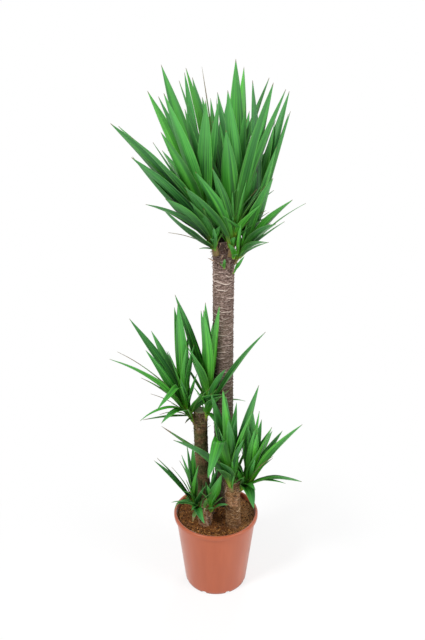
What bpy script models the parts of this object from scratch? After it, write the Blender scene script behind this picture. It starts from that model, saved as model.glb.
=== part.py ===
"""A potted spineless yucca: four canes in a nursery pot, with shoots and sword leaves.

Metres, +Z up. The origin is the middle of the pot's flat underside, and -Y is the front.
A bearing is a compass angle in degrees: 0 points to the front, 90 to +X. A lean is the angle
from upright. Each opened leaf is a piece of its own, and the young leaves in the middle of a
rosette are one piece with the shoot's stem.
"""

import math

import bmesh
import bpy
from mathutils import Matrix, Vector
from mathutils.bvhtree import BVHTree

# --- Driving dimensions -------------------------------------------------------------------

CLEARANCE = 0.0003          # the gap kept between pieces that touch

POT_HEIGHT = 0.255
POT_RIM_RADIUS = 0.135      # outside of the rolled rim
POT_RIM_DEPTH = 0.016       # height of the rolled rim
POT_RIM_PROUD = 0.007       # how far the rim stands out from the wall below it
POT_BASE_RADIUS = 0.100
POT_WALL = 0.0025
POT_FLOOR = 0.004
POT_SEGMENTS = 56
POT_FOOT_CHAMFER = 0.003
RIM_ARC_STEPS = 6
DRAIN_NOTCHES = 8
NOTCH_WIDTH = 0.015
NOTCH_HEIGHT = 0.007
NOTCH_REACH = 0.014         # from the outside of the base inwards

SOIL_LEVEL = 0.240          # where the soil meets the wall
SOIL_DOME = 0.005           # how much higher it lies in the middle
SOIL_SEGMENTS = 36
PLANTING_DEPTH = 0.130      # how deep the canes stand in the soil

CANE_SIDES = 14
CANE_RING_STEP = 0.06       # height between a cane's rings
CANE_FLARE = 0.0025         # how much a cane widens where it enters the soil
CANE_FLARE_FADE = 0.02      # height over which that widening fades
CUT_EDGE = 0.003            # height of the worn edge round a cane's cut top
CUT_EDGE_IN = 0.002         # how far that edge draws in

# A shoot's stem: share of its length, share of its radius. It runs on a little past its length.
STEM_SIDES = 10
STEM_PROFILE = ((0.0, 1.15), (0.25, 1.0), (0.7, 0.95), (0.95, 0.75), (1.06, 0.35))

# Canes: foot on the soil, middle, cut top (x, y, z), then radius at the soil and at the top.
CANES = {
    "tall_cane": ((0.030, 0.060, 0.240), (0.022, 0.052, 0.700), (0.021, 0.032, 1.148), 0.0270, 0.0290),
    "medium_cane": ((-0.036, 0.078, 0.240), (-0.046, 0.066, 0.420), (-0.049, 0.055, 0.592), 0.0190, 0.0185),
    "short_cane": ((0.055, -0.050, 0.240), (0.052, -0.053, 0.330), (0.050, -0.054, 0.411), 0.0215, 0.0225),
    "stub_cane": ((-0.034, -0.046, 0.240), (-0.033, -0.046, 0.280), (-0.032, -0.045, 0.318), 0.0185, 0.0175),
}

# Shoots: cane they grow from, foot of the stem (x, y, z), bearing, lean, stem length, stem radius.
SHOOTS = {
    "crown_left_shoot": ("tall_cane", (0.000, 0.010, 1.110), -60, 16, 0.115, 0.0105),
    "crown_front_shoot": ("tall_cane", (0.039, 0.012, 1.105), 50, 8, 0.125, 0.0105),
    "crown_right_shoot": ("tall_cane", (0.048, 0.034, 1.080), 85, 34, 0.095, 0.0095),
    "crown_back_shoot": ("tall_cane", (0.012, 0.056, 1.105), 180, 12, 0.125, 0.0105),
    "medium_left_shoot": ("medium_cane", (-0.065, 0.050, 0.545), -80, 22, 0.090, 0.0080),
    "medium_right_shoot": ("medium_cane", (-0.034, 0.046, 0.560), 35, 12, 0.100, 0.0080),
    "short_front_shoot": ("short_cane", (0.048, -0.072, 0.380), -20, 8, 0.080, 0.0080),
    "short_right_shoot": ("short_cane", (0.068, -0.050, 0.360), 85, 34, 0.075, 0.0080),
    "stub_left_shoot": ("stub_cane", (-0.048, -0.044, 0.275), -80, 22, 0.060, 0.0060),
    "stub_right_shoot": ("stub_cane", (-0.018, -0.053, 0.278), 60, 6, 0.055, 0.0055),
}

# Leaves of each shoot, from the lowest up. Each row gives the height of the leaf's foot on the
# stem (mm), the bearing, the lean at the foot and at the tip, the length and the greatest width
# (mm), how far the bearing swings from foot to tip, and the twist of the blade. A folded leaf has
# two more: the share of its length where it is creased, and the angle of the crease.
OPEN_LEAVES = {
    "crown_left_shoot": [
        (20, -42, 43, 71, 300, 34, -6, 35),
        (30, -38, 42, 64, 270, 36, 10, 30),
        (38, -125, 43, 59, 450, 38, -8, 0),
        (46, -52, 36, 52, 350, 38, 0, 35),
        (56, -56, 34, 50, 440, 42, 8, 35),
        (66, -35, 32, 48, 360, 38, 0, 20),
    ],
    "crown_front_shoot": [
        (25, -43, 36, 52, 270, 32, 0, 15),
        (32, -40, 29, 41, 270, 40, 0, 15),
        (44, -24, 25, 37, 260, 34, 0, 0),
        (58, 28, 18, 26, 450, 46, 0, 0),
        (72, -13, 18, 24, 310, 50, 0, 0),
    ],
    "crown_right_shoot": [
        (14, 28, 46, 78, 190, 28, 0, -15),
        (20, 46, 34, 58, 265, 14, 0, 0),
        (28, 33, 43, 67, 240, 32, 0, -20),
        (36, 52, 30, 50, 235, 36, 0, -20),
        (44, 17, 25, 41, 280, 42, 8, 0),
        (52, 138, 13, 23, 450, 44, 0, 0),
    ],
    "crown_back_shoot": [
        (26, 172, 50, 74, 360, 38, 0, 0),
        (38, -155, 42, 60, 400, 38, 0, 0),
        (50, 145, 38, 54, 410, 38, 0, 0),
        (64, -58, 12, 20, 420, 30, 0, 0),
        (76, 120, 16, 24, 420, 38, 0, 0),
    ],
    "medium_left_shoot": [
        (16, -39, 19, 119, 230, 16, -20, 0),
        (28, -67, 28, 60, 350, 26, 0, 40),
        (40, -128, 36, 48, 355, 38, 0, 0),
        (50, -97, 24, 36, 240, 32, 0, -30),
        (60, -47, 9, 27, 190, 28, 0, 0, 0.50, 95),
    ],
    "medium_right_shoot": [
        (20, 29, 20, 60, 160, 38, 0, 0),
        (32, 54, 25, 41, 380, 34, 0, -35),
        (42, 170, 30, 50, 250, 32, 0, 0),
        (52, 36, 21, 45, 190, 28, 0, -15),
        (64, -100, 3, 13, 365, 36, 0, -35),
    ],
    "short_front_shoot": [
        (18, -69, 24, 56, 300, 38, 0, 40),
        (30, -32, 21, 53, 130, 42, 0, 0),
        (40, -120, 13, 21, 220, 50, 0, 0, 0.45, 140),
        (50, -133, 11, 19, 270, 44, 0, 0),
    ],
    "short_right_shoot": [
        (12, 10, 37, 117, 160, 36, 0, 0),
        (22, 42, 44, 78, 235, 32, 0, -30),
        (34, 58, 23, 39, 320, 34, 0, -35),
        (46, 130, 40, 56, 260, 30, 0, 0),
    ],
    "stub_left_shoot": [
        (14, -10, 36, 108, 140, 28, 40, 0),
        (22, -44, 32, 72, 130, 30, 0, 25),
        (34, -73, 24, 40, 230, 26, 0, -35),
    ],
    "stub_right_shoot": [
        (16, 50, 30, 70, 85, 20, 0, 0),
    ],
}

# Young leaves, in the same terms; swing and twist are left out where they are none.
YOUNG_LEAVES = {
    "crown_left_shoot": [
        (84, -52, 22, 30, 410, 44, 0, 25),
        (88, -22, 25, 33, 415, 42, 0, 0),
        (92, -132, 18, 24, 440, 40),
        (96, 1, 24, 30, 380, 40),
        (98, 150, 10, 14, 330, 28),
    ],
    "crown_front_shoot": [
        (92, -11, 18, 24, 390, 40),
        (96, -8, 3, 7, 430, 42),
        (100, 169, 12, 16, 410, 38),
        (104, -161, 24, 28, 360, 32),
    ],
    "crown_right_shoot": [
        (68, 50, 13, 19, 390, 36, 0, -25),
        (72, 24, 19, 27, 310, 30),
        (76, -136, 0, 4, 430, 34),
        (80, 150, 16, 22, 330, 28),
    ],
    "crown_back_shoot": [
        (96, -133, 15, 21, 420, 40),
        (100, -149, 20, 26, 400, 36),
        (104, -161, 25, 31, 350, 34),
        (106, 172, 23, 29, 340, 32),
        (112, -149, 11, 17, 400, 16),
    ],
    "medium_left_shoot": [
        (68, -86, 9, 17, 200, 26),
        (72, -130, 1, 7, 325, 34, 0, -20),
        (76, 20, 6, 10, 220, 22),
        (80, 100, 8, 12, 190, 22),
    ],
    "medium_right_shoot": [
        (80, -49, 16, 26, 220, 34),
        (84, -14, 7, 13, 325, 34),
        (88, 40, 4, 10, 325, 34),
        (92, -170, 14, 20, 260, 28),
    ],
    "short_front_shoot": [
        (62, 59, 11, 19, 250, 34),
        (66, -154, 8, 14, 270, 32),
        (70, -60, 10, 16, 180, 22),
        (74, 160, 10, 14, 220, 24),
    ],
    "short_right_shoot": [
        (56, 84, 0, 5, 335, 36, 0, -30),
        (58, 58, 12, 20, 220, 30),
        (62, 11, 9, 17, 200, 26),
        (66, 150, 12, 18, 230, 26),
    ],
    "stub_left_shoot": [
        (46, -112, 1, 7, 210, 20),
        (50, 178, 8, 14, 195, 20),
        (54, 40, 8, 12, 150, 16),
    ],
    "stub_right_shoot": [
        (40, -32, 10, 20, 90, 18),
        (44, 60, 4, 14, 160, 32),
        (48, 170, 14, 18, 110, 16),
    ],
}

# Leaf section: rings along the blade, then its thickness and channel.
OPEN_RINGS = 9
YOUNG_RINGS = 6
SPINE_STEPS = 60            # straight steps that a curved midrib is made of
ROOTED_AT = 0.35            # where a young leaf starts inside its stem, as a share of the radius
NECK_SHARE = 0.34           # width at the foot, as a share of the greatest width
WIDEST_AT = 0.42            # share of the length at which the blade is widest
FOOT_THICKNESS = 0.0018
TIP_THICKNESS = 0.0009
CREASE_REACH = 0.04         # share of the length on each side of a fold's crease that bends
CLASP_SHARE = 0.16          # share of the length over which a leaf turns away from its stem
CLASP_SPREAD = 0.22         # how much it already parts from the stem at its foot
TWISTED_BY = 0.45           # share of the length by which a blade has its full twist
FOOT_CHANNEL = 0.40         # how far the edges rise, as a share of half the width
TIP_CHANNEL = 0.18

# An opened leaf that would touch another piece is turned aside, in these steps, until it is free.
TURN_STEP = 2.0
LEAN_STEP = 1.5
MOST_STEPS = 9
HEIGHT_STEPS = (0, 2, -2, 4, -4)

# Finishes: colour, roughness.
FINISHES = {
    "pot": ((0.50, 0.15, 0.085), 0.42),
    "soil": ((0.055, 0.030, 0.017), 0.95),
    "cane": ((0.19, 0.125, 0.085), 0.90),
    "leaf": ((0.045, 0.22, 0.045), 0.45),
    "shoot": ((0.085, 0.28, 0.045), 0.50),
}


# --- Small helpers ------------------------------------------------------------------------

def clear_scene():
    for item in list(bpy.data.objects):
        bpy.data.objects.remove(item, do_unlink=True)


def finish(name, kind):
    """A Principled material of its own for one piece."""
    colour, roughness = FINISHES[kind]
    material = bpy.data.materials.new(name + "_finish")
    material.use_nodes = True
    shader = material.node_tree.nodes["Principled BSDF"]
    shader.inputs["Base Color"].default_value = (*colour, 1.0)
    shader.inputs["Roughness"].default_value = roughness
    return material


def add_object(name, points, faces, kind):
    mesh = bpy.data.meshes.new(name)
    mesh.from_pydata([tuple(p) for p in points], [], faces)
    mesh.validate()
    face_out(mesh)
    mesh.shade_smooth()
    mesh.set_sharp_from_angle(angle=math.radians(35))
    item = bpy.data.objects.new(name, mesh)
    bpy.context.scene.collection.objects.link(item)
    if kind:
        mesh.materials.append(finish(name, kind))
    return item


def face_out(mesh):
    """Turns every face outwards."""
    shape = bmesh.new()
    shape.from_mesh(mesh)
    bmesh.ops.recalc_face_normals(shape, faces=shape.faces)
    shape.to_mesh(mesh)
    shape.free()


def hide_helper(item):
    item.hide_render = True
    item.display_type = "WIRE"


def cut_away(item, cutter):
    boolean = item.modifiers.new("cut_" + cutter.name, "BOOLEAN")
    boolean.operation = "DIFFERENCE"
    boolean.object = cutter


def loft(rings, tip=None):
    """Points and faces of a closed skin through rings of equal size, capped or drawn to a tip.

    The diagonals alternate, so the upper and the lower skin of a thin blade stay side by side.
    """
    size = len(rings[0])
    points = [p for ring in rings for p in ring]
    faces = [tuple(range(size))]
    for lower in range(len(rings) - 1):
        for i in range(size):
            j = (i + 1) % size
            a = lower * size
            b = a + size
            if i % 2:
                faces += [(a + i, b + i, a + j), (b + i, b + j, a + j)]
            else:
                faces += [(a + i, b + i, b + j), (a + i, b + j, a + j)]
    last = (len(rings) - 1) * size
    if tip is None:
        faces.append(tuple(last + i for i in reversed(range(size))))
        return points, faces
    points.append(tip)
    for i in range(size):
        faces.append((last + i, len(points) - 1, last + (i + 1) % size))
    return points, faces


def turned(profile, segments):
    """Points and faces of a closed solid of revolution; the profile starts and ends on the axis."""
    points = [Vector((0, 0, profile[0][1]))]
    for radius, z in profile[1:-1]:
        for k in range(segments):
            angle = 2 * math.pi * k / segments
            points.append(Vector((radius * math.cos(angle), radius * math.sin(angle), z)))
    points.append(Vector((0, 0, profile[-1][1])))
    rows = len(profile) - 2
    faces = []
    for k in range(segments):
        n = (k + 1) % segments
        faces.append((0, 1 + k, 1 + n))
        for row in range(rows - 1):
            a = 1 + row * segments
            b = a + segments
            faces.append((a + k, b + k, b + n, a + n))
        top = 1 + (rows - 1) * segments
        faces.append((top + n, top + k, len(points) - 1))
    return points, faces


def ring_about(centre, along, radius, sides):
    """A round ring square to a direction, starting at the side that faces the front."""
    side = along.cross(Vector((0, 1, 0))).normalized()
    other = along.cross(side).normalized()
    ring = []
    for k in range(sides):
        angle = 2 * math.pi * k / sides
        ring.append(centre + radius * (math.cos(angle) * other + math.sin(angle) * side))
    return ring


def heading(bearing, lean):
    """The unit vector with a compass bearing and a lean from upright, both in degrees."""
    b, a = math.radians(bearing), math.radians(lean)
    return Vector((math.sin(a) * math.sin(b), -math.sin(a) * math.cos(b), math.cos(a)))


def blend(low, high, share):
    return low + (high - low) * share


def ease(share):
    share = min(max(share, 0.0), 1.0)
    return share * share * (3 - 2 * share)


# --- Pot and soil -------------------------------------------------------------------------

def wall_radius(z):
    """Outside radius of the pot's plain wall at a height."""
    top = POT_RIM_RADIUS - POT_RIM_PROUD
    return blend(POT_BASE_RADIUS, top, z / (POT_HEIGHT - POT_RIM_DEPTH))


def make_pot():
    rim_low = POT_HEIGHT - POT_RIM_DEPTH
    wall_top = wall_radius(rim_low)
    inner_top = wall_top - POT_WALL
    roll = (POT_RIM_RADIUS - inner_top) / 2
    middle = inner_top + roll
    profile = [(0, 0), (POT_BASE_RADIUS - POT_FOOT_CHAMFER, 0), (POT_BASE_RADIUS, POT_FOOT_CHAMFER)]
    profile += [(wall_top, rim_low), (POT_RIM_RADIUS - 0.001, rim_low)]
    for step in range(RIM_ARC_STEPS + 1):
        angle = math.pi * step / RIM_ARC_STEPS
        profile.append((middle + roll * math.cos(angle), POT_HEIGHT - roll + roll * math.sin(angle)))
    profile += [(inner_top, rim_low), (wall_radius(POT_FLOOR) - POT_WALL, POT_FLOOR), (0, POT_FLOOR)]
    pot = add_object("pot", *turned(profile, POT_SEGMENTS), "pot")
    for k in range(DRAIN_NOTCHES):
        cut_away(pot, notch_cutter(k))
    return pot


def notch_cutter(k):
    """A box across the pot's bottom corner; it opens the floor and the wall as a drain."""
    shape = bmesh.new()
    bmesh.ops.create_cube(shape, size=1.0)
    reach = NOTCH_REACH + 0.01
    bmesh.ops.scale(shape, vec=(reach, NOTCH_WIDTH, 2 * NOTCH_HEIGHT), verts=shape.verts)
    bmesh.ops.translate(shape, vec=(POT_BASE_RADIUS + 0.01 - reach / 2, 0, 0), verts=shape.verts)
    turn = Matrix.Rotation(2 * math.pi * (k + 0.5) / DRAIN_NOTCHES, 3, "Z")
    bmesh.ops.rotate(shape, matrix=turn, verts=shape.verts)
    mesh = bpy.data.meshes.new(f"drain_notch_{k + 1}")
    shape.to_mesh(mesh)
    shape.free()
    cutter = bpy.data.objects.new(mesh.name, mesh)
    bpy.context.scene.collection.objects.link(cutter)
    hide_helper(cutter)
    return cutter


def make_soil():
    bottom = NOTCH_HEIGHT + CLEARANCE
    side_low = wall_radius(bottom) - POT_WALL - CLEARANCE
    side_top = wall_radius(SOIL_LEVEL) - POT_WALL - CLEARANCE
    side_top = min(side_top, POT_RIM_RADIUS - POT_RIM_PROUD - POT_WALL - 2 * CLEARANCE)
    profile = [(0, bottom), (side_low, bottom), (side_top, SOIL_LEVEL)]
    for share in (0.75, 0.5, 0.25):
        profile.append((side_top * share, SOIL_LEVEL + SOIL_DOME * (1 - share * share)))
    profile.append((0, SOIL_LEVEL + SOIL_DOME))
    soil = add_object("soil", *turned(profile, SOIL_SEGMENTS), "soil")
    for name in CANES:
        socket = make_cane(name, CLEARANCE)
        hide_helper(socket)
        cut_away(soil, socket)
    return soil


# --- Canes --------------------------------------------------------------------------------

def cane_axis(name, z):
    """The middle of a cane at a height, on the curve through its foot, middle and top."""
    foot, middle, top = (Vector(p) for p in CANES[name][:3])
    share = (z - foot.z) / (top.z - foot.z)
    half = (middle.z - foot.z) / (top.z - foot.z)
    swing = (middle - foot.lerp(top, half)) / (half * (1 - half))
    point = foot.lerp(top, share) + swing * share * (1 - share)
    return Vector((point.x, point.y, z))


def cane_radius(name, z):
    foot, top = CANES[name][0][2], CANES[name][2][2]
    low, high = CANES[name][3:]
    share = (z - foot) / (top - foot)
    flare = CANE_FLARE * math.exp(-abs(z - foot) / CANE_FLARE_FADE)
    return blend(low, high, share) + flare


def make_cane(name, grow=0.0):
    """A cane from deep in the soil to its cut top; grow makes the socket it stands in."""
    top = CANES[name][2][2]
    low = SOIL_LEVEL - PLANTING_DEPTH
    count = max(4, round((top - low) / CANE_RING_STEP))
    rings = []
    for k in range(count + 1):
        z = blend(low - grow, top - CUT_EDGE, k / count)
        along = (cane_axis(name, z + 0.005) - cane_axis(name, z - 0.005)).normalized()
        rings.append(ring_about(cane_axis(name, z), along, cane_radius(name, z) + grow, CANE_SIDES))
    rim = cane_radius(name, top) - CUT_EDGE_IN + grow
    rings.append(ring_about(cane_axis(name, top + grow), Vector((0, 0, 1)), rim, CANE_SIDES))
    points, faces = loft(rings)
    if grow:
        return add_object(name + "_socket", points, faces, None)
    return add_object(name, points, faces, "cane")


# --- Leaves -------------------------------------------------------------------------------

class Leaf:
    """One leaf: where it sits on its stem, where it points, and how it is bent."""

    def __init__(self, shoot, row):
        self.shoot = shoot
        self.height, self.bearing, self.lean, self.tip_lean, self.length, self.width = row[:6]
        self.swing, self.twist = row[6:8] if len(row) > 6 else (0, 0)
        self.crease, self.fold = row[8:10] if len(row) > 8 else (None, 0)

    def turned_by(self, turn, lean, height):
        copy = Leaf(self.shoot, (0,) * 6)
        copy.__dict__.update(self.__dict__)
        copy.bearing += turn
        copy.lean += lean
        copy.tip_lean += lean
        copy.height += height
        return copy

    def stem_out(self):
        """Square to the stem, towards the leaf's bearing."""
        along = heading(*SHOOTS[self.shoot][2:4])
        out = heading(self.bearing, 90)
        return (out - along * out.dot(along)).normalized()

    def foot(self, embedded):
        """The start of the midrib: on the stem's skin, or inside the stem for a young leaf."""
        radius = SHOOTS[self.shoot][5]
        point = stem_point(self.shoot, self.height / 1000)
        if embedded:
            return point + self.stem_out() * (radius * ROOTED_AT)
        return point + self.stem_out() * (radius + FOOT_THICKNESS / 2 + 2 * CLEARANCE)

    def direction(self, share):
        """Where the blade heads, and which way its upper face looks, at a share of its length."""
        lean = blend(self.lean, self.tip_lean, share)
        if self.crease:
            lean += self.fold * ease((share - self.crease + CREASE_REACH) / (2 * CREASE_REACH))
        bearing = self.bearing + self.swing * share
        free = heading(bearing, lean)
        upper = heading(bearing, lean - 90)
        along_stem = heading(*SHOOTS[self.shoot][2:4])
        loose = ease(share / CLASP_SHARE)
        along = (along_stem + self.stem_out() * CLASP_SPREAD).lerp(free, loose).normalized()
        inner = (-self.stem_out()).lerp(upper, loose)
        inner = (inner - along * inner.dot(along)).normalized()
        return along, inner

    def stations(self, rings):
        shares = [k / rings for k in range(rings)]
        if self.crease:
            shares = [s for s in shares if abs(s - self.crease) > 1.5 * CREASE_REACH]
            shares += [self.crease - CREASE_REACH, self.crease, self.crease + CREASE_REACH]
        return sorted(shares)

    def skin(self, rings, embedded=False, grow=0.0):
        """Rings of four points: left edge, channel, right edge, keel; and the tip."""
        length, half = self.length / 1000, self.width / 2000
        stations = self.stations(rings)
        spine = [self.foot(embedded)]
        for k in range(SPINE_STEPS):
            along = self.direction((k + 0.5) / SPINE_STEPS)[0]
            spine.append(spine[-1] + along * (length / SPINE_STEPS))
        skin = []
        for share in stations:
            place = share * SPINE_STEPS
            k = min(int(place), SPINE_STEPS - 1)
            centre = spine[k].lerp(spine[k + 1], place - k)
            along, inner = self.direction(share)
            across = along.cross(inner)
            turn = self.twist * ease(share / TWISTED_BY)
            roll = Matrix.Rotation(math.radians(turn), 3, along)
            inner, across = roll @ inner, roll @ across
            reach = half * blade_share(share) + grow
            rise = half * blade_share(share) * blend(FOOT_CHANNEL, TIP_CHANNEL, ease(share / 0.5))
            thick = blend(FOOT_THICKNESS, TIP_THICKNESS, share) / 2 + grow
            skin.append([
                centre - across * reach + inner * rise,
                centre + inner * thick,
                centre + across * reach + inner * rise,
                centre - inner * thick,
            ])
        return skin, spine[-1]


def blade_share(share):
    """Width of the blade at a share of its length, as a share of its greatest width."""
    if share < WIDEST_AT:
        return blend(NECK_SHARE, 1.0, ease(share / WIDEST_AT) ** 0.9)
    return 1 - ((share - WIDEST_AT) / (1 - WIDEST_AT)) ** 1.7


def stem_point(shoot, height):
    _, foot, bearing, lean, _, _ = SHOOTS[shoot]
    return Vector(foot) + heading(bearing, lean) * height


def tree_of(points, faces):
    return BVHTree.FromPolygons([tuple(p) for p in points], faces)


def tree_of_object(item):
    return BVHTree.FromObject(item, bpy.context.evaluated_depsgraph_get())


def steps_aside():
    """Turns and leans to try, the smallest first."""
    tries = []
    for turn in range(-MOST_STEPS, MOST_STEPS + 1):
        for lean in range(-MOST_STEPS, MOST_STEPS + 1):
            for order, height in enumerate(HEIGHT_STEPS):
                effort = abs(turn) + abs(lean) + 1.2 * order
                tries.append((effort, turn * TURN_STEP, lean * LEAN_STEP, height))
    tries.sort(key=lambda entry: (entry[0], abs(entry[1]), entry[1], entry[2], entry[3]))
    return [entry[1:] for entry in tries]


def settle(leaf, others, tries):
    """The leaf turned aside by the first step that keeps it clear of every other piece."""
    for turn, lean, height in tries:
        moved = leaf.turned_by(turn, lean, height)
        tree = tree_of(*loft(*moved.skin(OPEN_RINGS, grow=CLEARANCE)))
        if not any(tree.overlap(other) for other in others):
            return moved
    return leaf


def make_shoot(name):
    """The stem with its young leaves, joined in one body and cut where it leaves the cane."""
    cane, _, bearing, lean, length, radius = SHOOTS[name]
    along = heading(bearing, lean)
    rings = []
    for share, size in STEM_PROFILE:
        rings.append(ring_about(stem_point(name, length * share), along, radius * size, STEM_SIDES))
    shoot = add_object(name, *loft(rings), "shoot")
    young = bpy.data.collections.new(name + "_young_leaves")
    bpy.context.scene.collection.children.link(young)
    young.hide_render = True
    for number, row in enumerate(YOUNG_LEAVES[name], 1):
        skin, tip = Leaf(name, row).skin(YOUNG_RINGS, embedded=True)
        blade = add_object(f"{name}_young_leaf_{number}", *loft(skin, tip), None)
        bpy.context.scene.collection.objects.unlink(blade)
        young.objects.link(blade)
        hide_helper(blade)
    join = shoot.modifiers.new("join_young_leaves", "BOOLEAN")
    join.operation = "UNION"
    join.operand_type = "COLLECTION"
    join.collection = young
    cut_away(shoot, bpy.data.objects[cane + "_socket"])
    return shoot


def main():
    clear_scene()
    make_pot()
    make_soil()
    for name in CANES:
        make_cane(name)
    for name in SHOOTS:
        make_shoot(name)
    bpy.context.view_layer.update()
    placed = [tree_of_object(bpy.data.objects[name]) for name in [*CANES, *SHOOTS, "pot", "soil"]]
    tries = steps_aside()
    for shoot, rows in OPEN_LEAVES.items():
        for number, row in enumerate(rows, 1):
            leaf = settle(Leaf(shoot, row), placed, tries)
            points, faces = loft(*leaf.skin(OPEN_RINGS))
            name = shoot.replace("_shoot", f"_leaf_{number}")
            add_object(name, points, faces, "leaf")
            placed.append(tree_of(*loft(*leaf.skin(OPEN_RINGS, grow=CLEARANCE))))


main()
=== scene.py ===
# %% [markdown]
# # A potted yucca, built around its measured frame
#
# This notebook gives a measured model of a potted yucca its looks. The measured model holds
# plain solids: a pot, the soil, four bare canes, ten shoots with their young leaves, and one
# solid for each opened leaf that it keeps. Each cell makes one kind of piece or one finish, and
# the text before it says what the real thing is and why this way of making it was chosen.
#
# The first cell loads the measured model. Everything later takes its place from it.

# %% Load the measured model
import math
import random

import bmesh
import bpy
import numpy as np
from mathutils import Matrix, Vector, noise


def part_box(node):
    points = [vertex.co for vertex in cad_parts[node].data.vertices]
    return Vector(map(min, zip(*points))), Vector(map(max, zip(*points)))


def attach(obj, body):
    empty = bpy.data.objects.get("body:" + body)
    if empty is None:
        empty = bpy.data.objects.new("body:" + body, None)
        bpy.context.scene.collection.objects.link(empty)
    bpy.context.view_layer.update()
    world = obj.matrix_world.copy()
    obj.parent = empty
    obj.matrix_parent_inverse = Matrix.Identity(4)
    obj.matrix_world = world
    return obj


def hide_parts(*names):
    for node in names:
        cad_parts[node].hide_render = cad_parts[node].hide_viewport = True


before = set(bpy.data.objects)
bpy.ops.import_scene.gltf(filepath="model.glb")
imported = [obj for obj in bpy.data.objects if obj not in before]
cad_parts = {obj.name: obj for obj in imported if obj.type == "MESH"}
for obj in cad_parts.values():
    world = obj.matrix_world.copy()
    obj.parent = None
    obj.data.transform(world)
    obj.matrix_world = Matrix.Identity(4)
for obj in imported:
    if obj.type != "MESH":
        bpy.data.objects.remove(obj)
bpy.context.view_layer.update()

# %% [markdown]
# ## Working habits
#
# Blender's operators act on whatever is selected, so every step starts from a clean selection.
# These small helpers do what the mouse would: leave edit mode, pick one object, and pick some of
# its vertices, edges or faces by where they are.

# %% Select and edit
def only(item):
    """Selects one object alone and makes it active."""
    if bpy.context.mode != "OBJECT":
        bpy.ops.object.mode_set(mode="OBJECT")
    bpy.ops.object.select_all(action="DESELECT")
    item.select_set(True)
    bpy.context.view_layer.objects.active = item


def added(name):
    """Names the primitive that was just added."""
    item = bpy.context.active_object
    item.name = item.data.name = name
    only(item)
    return item


def edit(item, pick, kind="VERT"):
    """Enters edit mode with only the vertices, edges or faces selected for which pick is true."""
    only(item)
    bpy.ops.object.mode_set(mode="EDIT")
    bpy.ops.mesh.select_mode(type=kind)
    bpy.ops.mesh.select_all(action="DESELECT")
    shape = bmesh.from_edit_mesh(item.data)
    for part in {"VERT": shape.verts, "EDGE": shape.edges, "FACE": shape.faces}[kind]:
        part.select_set(bool(pick(part)))
    bmesh.update_edit_mesh(item.data)


def anything(part):
    return True


def rises(edge, by=1e-5):
    """Whether an edge's two ends differ in height by more than this."""
    return abs(edge.verts[0].co.z - edge.verts[1].co.z) > by


def done():
    bpy.ops.object.mode_set(mode="OBJECT")


print("the measured model has", len(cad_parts), "nodes to dress")

# %% [markdown]
# A modifier or a scale that is only set stays apart from the mesh. Here each is applied at once,
# so that the next step and the arrays further down see the shape as it is.

# %% Apply and join
def modify(item, kind, **settings):
    """Adds a modifier with these settings and applies it."""
    only(item)
    modifier = item.modifiers.new(kind.lower(), kind)
    for key, value in settings.items():
        setattr(modifier, key, value)
    bpy.ops.object.modifier_apply(modifier=modifier.name)


def settle(item, scale=(1, 1, 1)):
    """Scales an object and puts its place, turn and scale into its mesh."""
    only(item)
    item.scale = [old * new for old, new in zip(item.scale, scale)]
    bpy.ops.object.transform_apply(location=True, rotation=True, scale=True)


def join(items, name):
    """Makes several objects one piece."""
    only(items[0])
    for item in items[1:]:
        item.select_set(True)
    if len(items) > 1:
        bpy.ops.object.join()
    items[0].name = items[0].data.name = name
    return items[0]


# %% [markdown]
# ## Meshes as arrays, and pieces that belong
#
# Where thousands of vertices move by a sum, all of a mesh's points are read and written at once
# as an array. A number for every vertex, such as how much of a leaf scar it is, is kept as an
# attribute, so that a material can paint by it later. A finished piece gets its material, says
# that it moves with the plant's one body, and hides the measured solids that it stands for.

# %% Points, attributes and belonging
BODY = "root"


def points_of(mesh):
    flat = np.empty(len(mesh.vertices) * 3)
    mesh.vertices.foreach_get("co", flat)
    return flat.reshape(-1, 3)


def move_points(mesh, points):
    mesh.vertices.foreach_set("co", np.ascontiguousarray(points, float).ravel())
    mesh.update()


def stamp(mesh, name, values):
    """Keeps one number for each vertex as an attribute."""
    mesh.attributes.new(name, "FLOAT", "POINT").data.foreach_set("value", values)


def placed(name, data):
    """A new object that shows this mesh, lamp or camera."""
    item = bpy.data.objects.new(name, data)
    bpy.context.scene.collection.objects.link(item)
    return item


def smooth(item, degrees=180):
    """Shades smoothly wherever two faces meet by less than this angle."""
    only(item)
    if degrees == 180:
        bpy.ops.object.shade_smooth()
    else:
        bpy.ops.object.shade_smooth_by_angle(angle=math.radians(degrees))


def belongs(item, slot, material, *nodes):
    """The piece moves with the body, takes this finish, and hides these solids, which it stands for."""
    item.data.materials.clear()
    item.data.materials.append(material)
    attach(item, BODY)
    if nodes:
        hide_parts(*nodes)


print("every piece will ride on the body", BODY)

# %% [markdown]
# ## Shader sums in plain Python
#
# A procedural finish is mostly arithmetic on masks. One small class wraps a node's output, so
# that an expression such as `1 - mask * 0.5` adds its own Math nodes. Any other node comes from
# one method that takes the node's type, its settings and its inputs.

# %% An output that can be used in sums, and the node method
def arithmetic(operation, swapped=False):
    """The method behind one operator: it adds a Math node."""
    def work(self, other):
        first, second = (other, self) if swapped else (self, other)
        return self.nodes.node("ShaderNodeMath", {"operation": operation}, {0: first, 1: second})
    return work


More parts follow.
